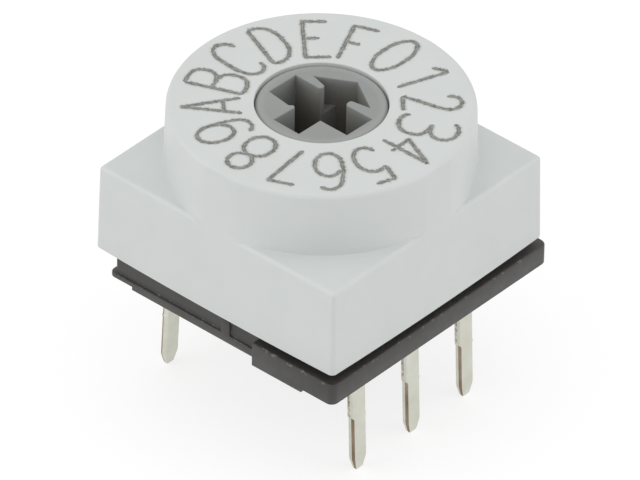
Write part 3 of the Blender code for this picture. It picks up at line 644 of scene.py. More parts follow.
def own_axes(tree):
    """The piece's own X, Y and Z."""
    place = add(tree, "ShaderNodeTexCoord").outputs["Object"]
    return add(tree, "ShaderNodeSeparateXYZ", {0: place}).outputs


rotor_finish = moulded("rotor_moulding", (0.285, 0.300, 0.290), 0.06, 0.55, 0.0030 * MM)
tree = rotor_finish.node_tree
place = own_axes(tree)
total = maths(tree, "ADD", *(maths(tree, "POWER", place[axis], 2.0) for axis in "XY"))
# Paint the highlight band near the top's edge.
towards(rotor_finish, spread(tree, maths(tree, "SQRT", total), 0.0, 1.0, *RIM_HIGHLIGHT_BAND), RIM_HIGHLIGHT_COLOUR)
# Walls that face the front get less of the painted shade.
facing = add(tree, "ShaderNodeAttribute", attribute_name="facing_front").outputs["Fac"]
shade_weight = maths(tree, "MULTIPLY_ADD", facing, FRONT_LESS_SHADE, 1.0)
for strength, low, high, colour in SLOT_PAINTED_SHADE:
    shade = spread(tree, place["Z"], strength, 0.0, low, high)
    towards(rotor_finish, maths(tree, "MULTIPLY", shade, shade_weight), colour)
print("made", rotor_finish.name)

# %% Turn the rotor
ROTOR_RADIUS, ROTOR_TOP, CHAMFER = 2.07 * MM, 6.445 * MM, 0.07 * MM
FLANGE_BOTTOM, FLANGE_TOP, FLANGE_RADIUS = 3.23 * MM, 3.73 * MM, 3.70 * MM
DRUM_RADIUS, DRUM_TOP = 2.90 * MM, 4.38 * MM
BREAK = 0.02 * MM
ROTOR_SEGMENTS = 192

profile = [
    (0.0, FLANGE_BOTTOM), (FLANGE_RADIUS - BREAK, FLANGE_BOTTOM), (FLANGE_RADIUS, FLANGE_BOTTOM + BREAK),
    (FLANGE_RADIUS, FLANGE_TOP - BREAK), (FLANGE_RADIUS - BREAK, FLANGE_TOP), (DRUM_RADIUS, FLANGE_TOP),
    (DRUM_RADIUS, DRUM_TOP - BREAK), (DRUM_RADIUS - BREAK, DRUM_TOP), (ROTOR_RADIUS, DRUM_TOP),
    (ROTOR_RADIUS, ROTOR_TOP - CHAMFER - BREAK / 2), (ROTOR_RADIUS - BREAK / 4, ROTOR_TOP - CHAMFER),
    (ROTOR_RADIUS - CHAMFER, ROTOR_TOP - BREAK / 4),
    (ROTOR_RADIUS - CHAMFER - BREAK / 2, ROTOR_TOP), (0.0, ROTOR_TOP),
]
rotor = turned("rotor_knob", profile, ROTOR_SEGMENTS, rotor_finish)
print("rotor blank:", len(rotor.data.polygons), "faces")

# %% Outlines of the slot
REACH, REACH_BACK, ARM = 1.64 * MM, 1.60 * MM, 0.53 * MM
NEAR_LEFT, NEAR_RIGHT, NEAR_END = -0.61 * MM, 0.50 * MM, 0.54 * MM
FAR_LEFT, FAR_RIGHT = -0.63 * MM, 0.57 * MM
NIB = ((-0.73 * MM, 0.72 * MM), (-0.615 * MM, 0.585 * MM), (-0.70 * MM, 0.49 * MM))
ARROW_BACK, BARB_BACK, BARB = 0.79 * MM, 0.93 * MM, 1.20 * MM
FAR_TONGUE, NEAR_TONGUE, ROUND, NEAR_ROUND = 0.58 * MM, 0.50 * MM, 0.10 * MM, 0.15 * MM
NIB_ROUND = 0.06 * MM
SLOT_TURN = math.radians(-1.5)
DEEP_STEP = 0.002 * MM


def round_corner(before, corner, after, radius, steps=6):
    """Arc that replaces one corner of an outline."""
    corner, before, after = Vector(corner), Vector(before), Vector(after)
    to_before, to_after = (before - corner).normalized(), (after - corner).normalized()
    half_angle = to_before.angle(to_after) / 2
    middle = corner + (to_before + to_after).normalized() * radius / math.sin(half_angle)
    start = corner + to_before * radius / math.tan(half_angle) - middle
    end = corner + to_after * radius / math.tan(half_angle) - middle
    turns = (start.lerp(end, i / steps).normalized() for i in range(steps + 1))
    return [tuple(middle + turn * radius) for turn in turns]


def slot_turned(points):
    """The detent holds the rotor a little off its mark, and so is the slot."""
    c, s = math.cos(SLOT_TURN), math.sin(SLOT_TURN)
    return [(x * c - y * s, x * s + y * c) for x, y in points]


def back_arms(trim):
    """The -X arm with its two neighbours' ends; a small nib stands where it meets the +Y arm."""
    before, corner, after = ((x + trim, y - trim) for x, y in NIB)
    return [
        (FAR_LEFT + trim, REACH - trim), before, *round_corner(before, corner, after, NIB_ROUND), after,
        (-REACH_BACK + trim, ARM - trim), (-REACH_BACK + trim, -ARM + trim), (FAR_LEFT + trim, -ARM + trim),
        (NEAR_LEFT + trim, -REACH + trim), (NEAR_END - trim, -REACH + trim),
    ]


def arrow_outline():
    """The whole arrow-ended cross, as it shows on the rotor's top."""
    near_corner, near_back = (NEAR_RIGHT, -NEAR_TONGUE), (ARROW_BACK, -NEAR_TONGUE)
    far_corner, far_back = (FAR_RIGHT, FAR_TONGUE), (ARROW_BACK, FAR_TONGUE)
    near = round_corner((NEAR_END, -REACH), near_corner, near_back, NEAR_ROUND)
    near += round_corner(near_corner, near_back, (BARB_BACK, -BARB), ROUND)
    far = round_corner((BARB_BACK, BARB), far_back, far_corner, ROUND)
    far += round_corner(far_back, far_corner, (FAR_RIGHT, REACH), ROUND)
    head = ((BARB_BACK, -BARB), (REACH, 0.0), (BARB_BACK, BARB))
    return slot_turned([*back_arms(0.0), *near, *head, *far, (FAR_RIGHT, REACH)])


def blade_outline():
    """The deep part: the cross alone, a hair inside the arrow's walls."""
    step = DEEP_STEP
    near, far = NEAR_TONGUE - step, FAR_TONGUE - step
    flank_near, flank_far = (REACH - side * (REACH - BARB_BACK) / BARB - 3 * step for side in (near, far))
    return slot_turned([
        *back_arms(step),
        *round_corner((NEAR_END - step, -REACH), (NEAR_RIGHT - step, -near), (flank_near, -near), NEAR_ROUND),
        (flank_near, -near), (REACH - 2 * step, 0.0), (flank_far, far),
        *round_corner((flank_far, far), (FAR_RIGHT - step, far), (FAR_RIGHT - step, REACH), ROUND),
        (FAR_RIGHT - step, REACH - step)])


def grown(outline, by):
    """Outline moved outwards by a distance, with mitred corners."""
    points = [Vector(p) for p in outline]
    area = sum(a.x * b.y - b.x * a.y for a, b in zip(points, points[1:] + points[:1]))
    out = []
    for i, point in enumerate(points):
        before = (point - points[i - 1]).normalized()
        after = (points[(i + 1) % len(points)] - point).normalized()
        side_before, side_after = Vector((before.y, -before.x)), Vector((after.y, -after.x))
        mitre = (side_before + side_after) / (1 + side_before.dot(side_after))
        out.append(tuple(point + mitre * by * (1 if area > 0 else -1)))
    return out


print("points on the arrow's outline:", len(arrow_outline()))

# %% Cut the slot and add the hub and the spring's posts
BARB_FLOOR, SLOT_FLOOR, SLOT_EDGE = 5.415 * MM, 4.245 * MM, 0.04 * MM
BLADE_TOP, CUTTER_TOP = BARB_FLOOR + 0.3 * MM, ROTOR_TOP + OVERLAP
HUB_BOTTOM, HUB_TOP, HUB_RADIUS, HUB_FLAT = 2.20 * MM, 3.48 * MM, 1.00 * MM, 0.80 * MM
PIVOT_RADIUS, PIVOT_BOTTOM, PIVOT_TOP = 0.58 * MM, 1.0 * MM, 3.26 * MM
POST_RADIUS, POST_ANGLE, POST_TOP = 0.16 * MM, math.radians(24), 4.23 * MM
HOOP_WAIST, HOOP_CROWN, HOOP_THICKNESS, SEAT_GAP = 2.96 * MM, 3.90 * MM, 0.12 * MM, 0.03 * MM
FACING_FRONT = -0.7

half_angle = math.acos(HUB_FLAT / HUB_RADIUS)
hub_outline = outline_arc((0.0, 0.0), HUB_RADIUS, half_angle, math.tau - half_angle, 48)
joined = [prism("hub", hub_outline, HUB_BOTTOM, HUB_TOP)]
for side_sign in (-1, 1):
    for swing in (-POST_ANGLE, POST_ANGLE):
        angle = side_sign * QUARTER + swing
        bulge = (HOOP_CROWN - HOOP_WAIST) * (1 + math.cos(2 * angle)) / 2
        distance = HOOP_WAIST + HOOP_THICKNESS + 2 * SEAT_GAP + POST_RADIUS + bulge
        middle = (distance * math.cos(angle), distance * math.sin(angle))
        joined.append(prism("post", circle(middle, POST_RADIUS, 24), HUB_TOP, POST_TOP))
cut(rotor, joined, "UNION")

arrow = arrow_outline()
flare = [(grown(arrow, SLOT_EDGE * (1 - math.cos(swing))), ROTOR_TOP - SLOT_EDGE * (1 - math.sin(swing)))
         for swing in quarter_turn(4)]
arrow_cutter = stacked("arrow_cutter", [(arrow, BARB_FLOOR), *flare, (grown(arrow, SLOT_EDGE), CUTTER_TOP)])
blade_cutter = prism("blade_cutter", blade_outline(), SLOT_FLOOR, BLADE_TOP)
pivot = prism("pivot_bore", circle((0.0, 0.0), PIVOT_RADIUS, 64), PIVOT_BOTTOM, PIVOT_TOP)
cut(rotor, [arrow_cutter, blade_cutter, pivot])
# Mark the faces that face the front, so that they get less painted shade.
facing = rotor.data.attributes.new("facing_front", "FLOAT", "FACE")
for polygon in rotor.data.polygons:
    facing.data[polygon.index].value = float(polygon.normal.y < FACING_FRONT)
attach(rotor, "rotor")
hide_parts("rotor")
print("rotor:", len(rotor.data.polygons), "faces")

# %% [markdown]
# ## Base
# The base is a dark moulding. Its solid already has the right shape, down to the flange that returns
# round the front and the rib on the set-back wall. A real moulding has no knife edges though, and a thin
# bright line along each edge tells the eye that the part is small and solid. So the solid's mesh is
# copied, its triangles are welded and joined to flat faces, and the outer edges alone get a small bevel.
# Handling has chipped those edges here and there, so the bevel's faces carry an attribute that lets a
# noise lighten them. The flange is painted darker towards its top, as painted shade under the housing,
# and darkest on its top, in the gap under the housing.

# %% Finish of the base
CHIP_SIZE, CHIPPED, CHIP_COLOUR = 0.19 * MM, (0.56, 0.66), (0.14, 0.136, 0.13)
# Painted shade: the flange darker towards its top, and darkest in the gap under the housing.
BASE_PAINTED_SHADE = (
    (0.25, 0.30 * MM, 0.78 * MM, (0.020, 0.018, 0.016)),
    (0.75, 0.80 * MM, 0.84 * MM, (0.027, 0.024, 0.020)),
)

base_finish = moulded("base_moulding", (0.052, 0.050, 0.048), 0.16, 0.46, 0.0045 * MM)
tree = base_finish.node_tree
height = own_axes(tree)["Z"]
# Paint the shade under the housing by height.
for strength, low, high, colour in BASE_PAINTED_SHADE:
    towards(base_finish, spread(tree, height, 0.0, strength, low, high), colour)
worn = add(tree, "ShaderNodeAttribute", attribute_name="edge").outputs["Fac"]
chips = spread(tree, noise(tree, CHIP_SIZE, 3.0, 0.6), 0.0, 1.0, *CHIPPED)
towards(base_finish, maths(tree, "MULTIPLY", chips, worn), CHIP_COLOUR)
print("made", base_finish.name)

# %% Weld a copy of the base and round its outer edges
BASE_EDGE = 0.030 * MM
FLAT, CORNER = math.radians(0.5), math.radians(35)
OUTSIDE, BELOW = 4.25 * MM, 0.95 * MM

bm = bmesh.new()
bm.from_mesh(nodes["base"].data)
edge_layer = bm.faces.layers.float.new("edge")
bmesh.ops.remove_doubles(bm, verts=bm.verts, dist=WELD)
bmesh.ops.dissolve_limit(bm, angle_limit=FLAT, verts=bm.verts, edges=bm.edges)
bm.normal_update()
outer = []
for edge in bm.edges:
    middle = (edge.verts[0].co + edge.verts[1].co) / 2
    outside = max(abs(middle.x), abs(middle.y)) > OUTSIDE and middle.z < BELOW
    if outside and edge.is_manifold and edge.calc_face_angle(0.0) > CORNER:
        outer.append(edge)
rounded = bmesh.ops.bevel(
    bm, geom=outer, offset=BASE_EDGE, segments=2, profile=0.5, affect="EDGES", clamp_overlap=True)["faces"]
for face in rounded:
    face[edge_layer] = 1.0
base = mesh_piece("base_block", bm, base_finish)
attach(base, "switch_body")
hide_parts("base")
print("base:", len(outer), "edges rounded,", len(base.data.polygons), "faces")

# %% [markdown]
# ## Six stamped legs
# The legs are one stamping, used six times: the back row is the front row turned half a turn. The press
# leaves its mark on the narrow sides: the punch burnishes part of the thickness bright and tears the
# rest, and the tin that covers the strip is missing on the torn part, so bare brass shows brown there.
# One leg is built as a loft along its bent path, with each face of its narrow sides marked by an
# attribute that says how torn it is: 0 is tinned and 1 is bare brass. Geometry Nodes then set it on a
# grid of six points.

# %% Stations along one leg
PITCH, ROW = 2.54 * MM, 3.81 * MM
WIDTH, THICKNESS, STEP, BUMP = 0.55 * MM, 0.25 * MM, 0.04 * MM, 0.03 * MM
LEAN = math.tan(math.radians(2.4))
PAD_HEIGHT, PAD_LENGTH, BEND = 2.125 * MM, 0.86 * MM, 0.20 * MM
BASE_RECESS, STEP_DROP, TIP_Z, TAPER = -0.36 * MM, -2.22 * MM, -4.28 * MM, 0.45 * MM


def leg_stations():
    """Centre (outward distance, height), thickness direction, left and right half width, thickness share."""
    half, wide = WIDTH / 2, WIDTH / 2 + STEP
    stations = [((ROW - BEND - PAD_LENGTH, PAD_HEIGHT), (0.0, 1.0), wide, half, 1.0)]
    for swing in reversed(quarter_turn(8)):
        centre = (ROW - BEND + BEND * math.cos(swing), PAD_HEIGHT - BEND + BEND * math.sin(swing))
        stations.append((centre, (math.cos(swing), math.sin(swing)), wide, half, 1.0))
    for z, left, right_half, share in (
        (0.0, wide, half, 1.0),
        (BASE_RECESS, wide, half, 1.0),
        (STEP_DROP + 0.04 * MM, wide, half, 1.0),
        (STEP_DROP, wide - STEP / 4, half + BUMP * 0.4, 1.0),
        (STEP_DROP - 0.05 * MM, half + STEP / 6, half + BUMP, 1.0),
        (STEP_DROP - 0.10 * MM, half, half + BUMP * 0.3, 1.0),
        (STEP_DROP - 0.15 * MM, half, half, 1.0),
        (TIP_Z + TAPER + 0.04 * MM, half, half, 1.0),
        (TIP_Z + TAPER - 0.04 * MM, half * 0.97, half * 0.97, 0.97),
        (TIP_Z + 0.10 * MM, 0.18 * MM, 0.18 * MM, 0.64),
        (TIP_Z + 0.03 * MM, 0.15 * MM, 0.15 * MM, 0.54),
        (TIP_Z, 0.11 * MM, 0.11 * MM, 0.42),
    ):
        stations.append(((ROW - z * LEAN, z), (1.0, 0.0), left, right_half, share))
    return stations


print("stations along the leg:", len(leg_stations()))

# %% Build one leg
TEAR, ROLL, SOFT = 0.018 * MM, 0.025 * MM, 0.3
# For faces of the section: the height where their tear changes, and how bare they are above and below it.
LEFT_OUTER, LEFT_INNER = (STEP_DROP, 0.15, 1.0), (STEP_DROP, 0.45, 0.05)
RIGHT_INNER, RIGHT_OUTER = (BASE_RECESS, 1.0, 0.0), (TIP_Z, 0.75, 0.75)
TORN_FACES = {0: LEFT_OUTER, 1: LEFT_OUTER, 2: LEFT_INNER, 8: RIGHT_INNER, 9: RIGHT_OUTER}


def leg_section(left, right_half, share):
    """Section of the strip: widthways, through the thickness; sharp outside, rolled over inside."""
    deep, soft, tear = THICKNESS / 2 * share, ROLL * share, TEAR * share
    return [
        (-left + tear, deep), (-left, deep - tear), (-left, 0.0), (-left, -deep + soft),
        (-left + soft * SOFT, -deep + soft * SOFT), (-left + soft, -deep), (right_half - soft, -deep),
        (right_half - soft * SOFT, -deep + soft * SOFT), (right_half, -deep + soft),
        (right_half, deep * 0.5), (right_half, deep - tear), (right_half - tear, deep),
    ]


bm = bmesh.new()
torn_layer = bm.faces.layers.float.new("torn")
rings = []
for (outward, z), (tilt_out, tilt_up), left, right_half, share in leg_stations():
    section = leg_section(left, right_half, share)
    rings.append([
        bm.verts.new((across, -(outward + deep * tilt_out), z + deep * tilt_up)) for across, deep in section])
for here, there in pairwise(rings):
    for k in range(len(here)):
        m = (k + 1) % len(here)
        face = bm.faces.new((here[k], here[m], there[m], there[k]))
        if k in TORN_FACES:
            change, above, below = TORN_FACES[k]
            face[torn_layer] = below if face.calc_center_median().z < change else above
bm.faces.new(rings[0])
bm.faces.new(rings[-1])
for vertex in bm.verts:
    vertex.co.y += ROW  # the grid's points carry it back out to its row
leg = mesh_piece("leg_pattern", bm, None)
print("leg:", len(leg.data.polygons), "faces")

# %% Tin over brass
TINS = (0.60, 0.60, 0.51), (0.665, 0.67, 0.60)
BRASSES = (0.22, 0.17, 0.11), (0.44, 0.34, 0.26)
RAGGED, BARE_FROM, BARE_TO, BARE_DULL = 0.9, 0.80, 1.10, 0.25

leg_finish, tree, shader = new_finish("tinned_strip", metallic=1.0)
bare = add(tree, "ShaderNodeAttribute", attribute_name="torn").outputs["Fac"]
ragged = maths(tree, "MULTIPLY_ADD", noise(tree, 0.12 * MM, 3.0), RAGGED, bare)
bare = spread(tree, ragged, 0.0, 1.0, BARE_FROM, BARE_TO)
tin = mottled(tree, 0.7 * MM, 3.0, *TINS)
brass = mottled(tree, 1.1 * MM, 2.0, *BRASSES)
dull = maths(tree, "MULTIPLY_ADD", bare, BARE_DULL, spread(tree, noise(tree, 0.20 * MM, 3.0), 0.30, 0.42))
surface(tree, shader, blend_colours(tree, bare, tin, brass), dull, 0.006 * MM,
        (noise(tree, 0.05 * MM), 0.5), (noise(tree, 0.25 * MM), 1.5))
print("made", leg_finish.name)

# %% Set the leg on a grid of six points
def leg_grid_tree():
    tree, given = start_tree("leg_grid", {
        "Leg": "Geometry", "Pitch": "Float", "Row distance": "Float", "Finish": "Material"}, "Legs")
    grid = add(tree, "GeometryNodeMeshGrid", {
        "Size X": maths(tree, "MULTIPLY", given["Pitch"], 2.0), "Size Y": given["Row distance"],
        "Vertices X": 3, "Vertices Y": 2})
    place = add(tree, "ShaderNodeSeparateXYZ", {0: add(tree, "GeometryNodeInputPosition").outputs[0]})
    behind = maths(tree, "GREATER_THAN", place.outputs["Y"], 0.0)
    turn = add(tree, "ShaderNodeCombineXYZ", {"Z": maths(tree, "MULTIPLY", behind, math.pi)})
    turn = add(tree, "FunctionNodeEulerToRotation", {0: turn.outputs[0]})
    stood = add(tree, "GeometryNodeInstanceOnPoints", {
        "Points": grid.outputs[0], "Instance": given["Leg"], "Rotation": turn.outputs[0]})
    return end_tree(tree, stood, given["Finish"])


leg.name = "terminal_legs"
hang_tree(leg, leg_grid_tree(), {"Pitch": PITCH, "Row distance": 2 * ROW, "Finish": leg_finish})
plain(leg)
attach(leg, "switch_body")
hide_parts(*(name for name in nodes if name.startswith("terminal_")))
print("legs:", len(leg.data.polygons), "faces")

# %% [markdown]
# ## The dial's characters
# A laser marks the sixteen positions on the collar's top, 0 to 9 and A to F, with their heads outwards.
# It draws each character with single strokes, whose ends are round and whose edges are a little ragged.
# A font would have the wrong shapes, so each character is drawn here as a few strokes in its own box,
# in millimetres: u to the right and v up. A stroke is either straight from point to point or smooth
# through its points.

# %% Draw the characters
def line(*points):
    return ("line", points)


def smooth(*points):
    return ("smooth", points)


def loop(u, v, half_u, half_v):
    """An oval through eight points."""
    ring = ((0, 1), (0.72, 0.70), (1, 0), (0.72, -0.70), (0, -1), (-0.72, -0.70), (-1, 0), (-0.72, 0.70))
    return ("loop", tuple((u + half_u * a, v + half_v * b) for a, b in ring))


CHARACTERS = (
    ("0", loop(-0.08, 0.00, 0.43, 0.96)),
    ("1", line((-0.33, 0.48), (0.06, 0.88)), line((0.09, 0.87), (0.14, -0.95))),
    ("2", smooth((-0.30, 0.43), (-0.24, 0.72), (0.02, 0.88), (0.30, 0.77), (0.41, 0.47), (0.30, 0.15),
                 (0.02, -0.33), (-0.35, -0.95)), line((-0.35, -0.95), (0.41, -0.97))),
    ("3", smooth((-0.46, 0.74), (-0.25, 0.91), (0.02, 0.97), (0.36, 0.84), (0.48, 0.51), (0.32, 0.20),
                 (-0.20, 0.08)),
     smooth((-0.20, 0.08), (0.20, 0.03), (0.44, -0.14), (0.50, -0.42), (0.36, -0.78), (-0.02, -0.95),
            (-0.30, -0.90), (-0.48, -0.74))),
    ("4", line((0.12, -0.88), (0.10, 0.94), (-0.43, -0.28), (0.39, -0.28))),
    ("5", line((0.31, 0.96), (-0.33, 0.93), (-0.36, 0.20)),
     smooth((-0.36, 0.20), (-0.20, 0.33), (0.00, 0.37), (0.30, 0.20), (0.42, -0.23), (0.30, -0.68),
            (0.01, -0.90), (-0.22, -0.83), (-0.38, -0.60))),
    ("6", smooth((0.35, 0.79), (0.20, 0.93), (0.01, 0.97), (-0.25, 0.80), (-0.38, 0.32), (-0.39, -0.35),
                 (-0.26, -0.74), (0.03, -0.88), (0.33, -0.70), (0.45, -0.31), (0.34, 0.12), (0.05, 0.29),
                 (-0.20, 0.18), (-0.34, -0.04))),
    ("7", line((-0.53, 0.82), (0.32, 0.85), (-0.20, -0.95))),
    ("8", loop(-0.03, 0.50, 0.375, 0.40), loop(-0.01, -0.45, 0.45, 0.54)),
    ("9", loop(0.03, 0.27, 0.43, 0.60),
     smooth((0.47, 0.34), (0.47, -0.05), (0.44, -0.45), (0.32, -0.82), (0.06, -0.96), (-0.16, -0.90),
            (-0.30, -0.73))),
    ("A", line((-0.35, -0.89), (0.05, 0.98), (0.45, -0.89)), line((-0.23, -0.33), (0.33, -0.33))),
    ("B", line((-0.37, 1.02), (-0.37, -0.89)),
     smooth((-0.37, 1.02), (0.08, 1.00), (0.36, 0.88), (0.45, 0.60), (0.35, 0.27), (0.10, 0.13),
            (-0.37, 0.13)),
     smooth((0.10, 0.13), (0.38, -0.02), (0.49, -0.35), (0.39, -0.72), (0.10, -0.88), (-0.37, -0.89))),
    ("C", smooth((0.41, 0.60), (0.31, 0.88), (0.18, 1.01), (-0.05, 1.07), (-0.33, 0.85), (-0.46, 0.22),
                 (-0.46, -0.36), (-0.30, -0.75), (0.00, -0.88), (0.22, -0.76), (0.33, -0.48))),
    ("D", line((-0.47, 1.07), (-0.47, -0.86)),
     smooth((-0.47, 1.07), (-0.10, 1.03), (0.20, 0.75), (0.34, 0.10), (0.24, -0.50), (-0.10, -0.84),
            (-0.47, -0.86))),
    ("E", line((0.38, 0.94), (-0.41, 0.97), (-0.41, -0.93), (0.42, -0.94)),
     line((-0.41, 0.07), (0.09, 0.07))),
    ("F", line((0.41, 0.83), (-0.44, 0.83), (-0.38, -1.00)), line((-0.41, -0.06), (0.06, -0.06))),
)
print("characters:", "".join(character for character, *_ in CHARACTERS))

# %% [markdown]
# The marks were burnt in a second operation, and the ring they stand on is about a tenth of a millimetre
# off the bore's centre, which the photo shows clearly, so it is kept. Every stroke becomes a spline,
# turned to its place on the ring. Each lies a hair above or below the next, so that no two ribbons share
# a plane where they cross.

# %% Lay the strokes round the dial
RING_CENTRE = Vector((-0.055, -0.12)) * MM
RING_RADIUS = 3.43 * MM
LIFT, HIGHEST_LIFT = 0.0004 * MM, 0.002 * MM
mark_curve = bpy.data.curves.new("dial_marks", "CURVE")
mark_curve.dimensions = "3D"
mark_curve.resolution_u = 12
lift = 0.0
for place, (character, *strokes) in enumerate(CHARACTERS):
    angle = -math.tau * place / POSITIONS
    outward = Vector((math.cos(angle), math.sin(angle)))
    rightward = Vector((math.sin(angle), -math.cos(angle)))
    for kind, points in strokes:
        spline = mark_curve.splines.new("BEZIER")
        spline.bezier_points.add(len(points) - 1)
        spline.use_cyclic_u = kind == "loop"
        lift = (lift + LIFT) % HIGHEST_LIFT
        for knot, (u, v) in zip(spline.bezier_points, points):
            spot = RING_CENTRE + outward * (RING_RADIUS + v * MM) + rightward * u * MM
            knot.co = (spot.x, spot.y, RIM + lift)
            knot.handle_left_type = knot.handle_right_type = "VECTOR" if kind == "line" else "AUTO"
marks = in_scene("dial_marks", mark_curve)
print("strokes:", len(mark_curve.splines))

# %% [markdown]
# A Geometry Nodes tree turns the splines into thin ribbons. It cuts each one into short steps, shakes
# them sideways by a few thousandths of a millimetre, narrows the last steps of an open stroke to a
# half-circle, and sweeps a flat six-sided profile along. The ribbons lie half in the plastic, as a burnt
# mark does. The profile keeps its place across the stroke in an attribute, so that the finish can be
# pale in the middle, dark beside it and frayed at the edge, and its ridge keeps crossings clean.

# %% A tree that sweeps the strokes
ROUND_END, NARROWEST, WIDEST = 1.02, 0.70, 1.25


def stroke_tree():
    tree, given = start_tree("laser_strokes", {
        "Strokes": "Geometry", "Width": "Float", "Height": "Float", "Step": "Float", "Shake": "Float",
        "Grain": "Float", "Seed": "Float", "Finish": "Material"}, "Ribbons")
    cut_up = add(tree, "GeometryNodeResampleCurve", {
        "Curve": given["Strokes"], "Length": given["Step"]}, mode="LENGTH")
    half = maths(tree, "MULTIPLY", given["Width"], 0.5)
    along = add(tree, "GeometryNodeSplineParameter").outputs["Length"]
    whole = add(tree, "GeometryNodeSplineLength").outputs["Length"]
    to_end = maths(tree, "MINIMUM", along, maths(tree, "SUBTRACT", whole, along))
    short = maths(tree, "SUBTRACT", 1.0, maths(tree, "MINIMUM", maths(tree, "DIVIDE", to_end, half), 1.0))
    round_end = maths(tree, "SUBTRACT", ROUND_END, maths(tree, "MULTIPLY", short, short))
    closed = add(tree, "GeometryNodeInputSplineCyclic").outputs[0]
    taper = maths(tree, "MAXIMUM", maths(tree, "SQRT", round_end), closed)
    wobble = add(tree, "ShaderNodeTexNoise", {
        "Scale": given["Grain"], "W": given["Seed"], "Detail": 2.0}, noise_dimensions="4D").outputs
    ragged = spread(tree, wobble["Fac"], NARROWEST, WIDEST)
    push = add(tree, "ShaderNodeVectorMath", {0: wobble["Color"], 1: (0.5, 0.5, 0.5)}, operation="SUBTRACT")
    push = add(tree, "ShaderNodeVectorMath", {0: push.outputs[0], 1: (1.0, 1.0, 0.0)}, operation="MULTIPLY")
    push = add(tree, "ShaderNodeVectorMath", {0: push.outputs[0], "Scale": given["Shake"]}, operation="SCALE")
    shaken = add(tree, "GeometryNodeSetPosition", {"Geometry": cut_up.outputs[0], "Offset": push.outputs[0]})
    hexagon = add(tree, "GeometryNodeCurvePrimitiveCircle", {"Resolution": 6, "Radius": half}, mode="RADIUS")
    squash = maths(tree, "DIVIDE", given["Height"], given["Width"])
    squash = add(tree, "ShaderNodeCombineXYZ", {"X": 1.0, "Y": squash, "Z": 1.0})
    flat = add(tree, "GeometryNodeTransform", {"Geometry": hexagon.outputs[0], "Scale": squash.outputs[0]})
    spot = add(tree, "ShaderNodeSeparateXYZ", {0: add(tree, "GeometryNodeInputPosition").outputs[0]})
    across = maths(tree, "DIVIDE", spot.outputs["X"], half)
    flat = add(tree, "GeometryNodeStoreNamedAttribute", {
        "Geometry": flat.outputs[0], "Name": "across", "Value": across})
    swept = add(tree, "GeometryNodeCurveToMesh", {
        "Curve": shaken.outputs[0], "Profile Curve": flat.outputs[0],
        "Scale": maths(tree, "MULTIPLY", taper, ragged), "Fill Caps": True})
    return end_tree(tree, swept, given["Finish"])


strokes_tree = stroke_tree()
print("stroke nodes:", len(strokes_tree.nodes))

# %% Finish of the marks
MARK_MIDDLE, MARK_DARK, MARK_EDGE = (0.30, 0.30, 0.28), (0.150, 0.153, 0.138), (0.580, 0.597, 0.578)
SCORCHED, FRAYED = (0.80, 1.10), (0.74, 1.12)

mark_finish, tree, shader = new_finish("burnt_mark")
across = add(tree, "ShaderNodeAttribute", attribute_name="across").outputs["Fac"]
to_edge = maths(tree, "ABSOLUTE", across)
patchy = maths(tree, "MULTIPLY_ADD", noise(tree, 0.12 * MM, 4.0, 0.6), 1.6, to_edge)
burnt = blend_colours(tree, spread(tree, patchy, 0.0, 1.0, *SCORCHED), MARK_MIDDLE, MARK_DARK)
frayed = maths(tree, "MULTIPLY_ADD", noise(tree, 0.08 * MM, 3.0, 0.6), 0.8, to_edge)
faded = blend_colours(tree, spread(tree, frayed, 0.0, 1.0, *FRAYED), burnt, MARK_EDGE)
ashen = spread(tree, noise(tree, 0.06 * MM), 0.6, 0.85)
surface(tree, shader, faded, ashen, 0.004 * MM, (noise(tree, 0.03 * MM, 3.0), 1.0))
print("made", mark_finish.name)

# %% Sweep the strokes
hang_tree(marks, strokes_tree, {
    "Width": 0.260 * MM, "Height": 0.012 * MM, "Step": 0.014 * MM, "Shake": 0.040 * MM,
    "Grain": 1 / (0.07 * MM), "Seed": 3.0, "Finish": mark_finish})
mark_mesh = evaluated(marks)
bpy.data.objects.remove(marks)
bm = bmesh.new()
bm.from_mesh(mark_mesh)
dial = mesh_piece("dial_characters", bm, mark_finish, merge=0.00005 * MM)
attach(dial, "switch_body")
dial_top = max(vertex.co.z for vertex in dial.data.vertices)
print("dial:", len(dial.data.polygons), "faces, top at mm", round(dial_top / MM, 4))

# %% [markdown]
# ## Inside the housing
# The seal, the detent spring, the coded disc with its track and the contact springs are out of sight in
# the finished switch. Their solids already have the right shapes, so they stay and get real finishes:
# black rubber, bright rolled steel, green laminate with a glass weave, and thin gold with faint wear.

# %% Finishes of the inner parts
def dress(names, finish):
    for name in names:
        for slot in nodes[name].material_slots:
            slot.material = finish
    print(finish.name, "on", ", ".join(names))


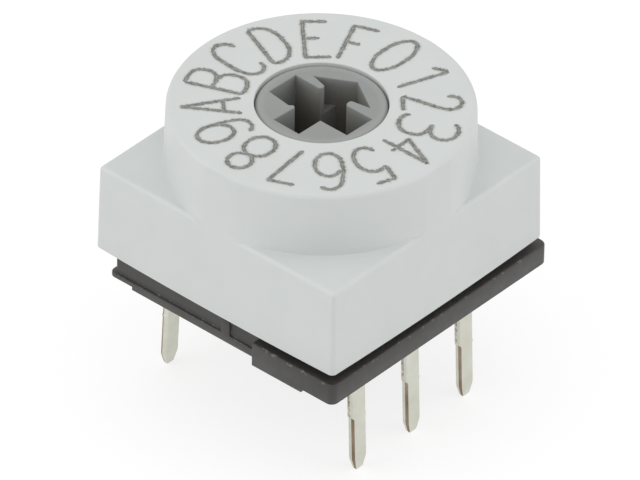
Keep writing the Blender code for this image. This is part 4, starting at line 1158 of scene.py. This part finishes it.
def metal(name, colour, tarnish, low, high, streak):
    """Metal strip: tarnish in patches and fine rolling lines along one axis."""
    material, tree, shader = new_finish(name, metallic=1.0)
    place = add(tree, "ShaderNodeTexCoord").outputs["Object"]
    stretched = add(tree, "ShaderNodeMapping", {"Vector": place, "Scale": streak}).outputs[0]
    lines = add(tree, "ShaderNodeTexNoise", {"Vector": stretched, "Scale": 1 / MM, "Detail": 3.0})
    lines = lines.outputs["Fac"]
    patches = mottled(tree, 0.8 * MM, 3.0, colour, tarnish)
    surface(tree, shader, patches, spread(tree, lines, low, high), 0.002 * MM, (lines, 1.0))
    return material


gold_finish = metal("gold_flash", (0.86, 0.62, 0.27), (0.74, 0.50, 0.22), 0.16, 0.30, (6.0, 30.0, 6.0))
steel_finish = metal("rolled_steel", (0.60, 0.60, 0.61), (0.50, 0.50, 0.52), 0.18, 0.32, (4.0, 4.0, 40.0))
link_finish = metal("tinned_link", (0.66, 0.66, 0.62), (0.56, 0.56, 0.50), 0.28, 0.42, (30.0, 5.0, 5.0))

rubber_finish = moulded("seal_moulding", (0.030, 0.030, 0.031), 0.25, 0.55, 0.0020 * MM)

THREADS, GREENS = 1.2 / MM, ((0.05, 0.17, 0.07), (0.12, 0.30, 0.14))
laminate_finish, tree, shader = new_finish("glass_laminate")
place = add(tree, "ShaderNodeTexCoord").outputs["Object"]
sockets = {"Vector": place, "Scale": THREADS, "Distortion": 0.6, "Detail": 1.0}
weave = maths(tree, "MAXIMUM", *(
    add(tree, "ShaderNodeTexWave", sockets, bands_direction=axis).outputs["Fac"] for axis in "XY"))
resin = spread(tree, noise(tree, 0.3 * MM), 0.30, 0.45)
surface(tree, shader, blend_colours(tree, weave, *GREENS), resin, 0.006 * MM, (weave, 1.0))

springs = [name for name in nodes if name.startswith("contact_spring_")]
dress([*springs, "code_track"], gold_finish)
dress(["detent_spring"], steel_finish)
dress(["common_link"], link_finish)
dress(["rotor_seal"], rubber_finish)
dress(["coded_disc"], laminate_finish)
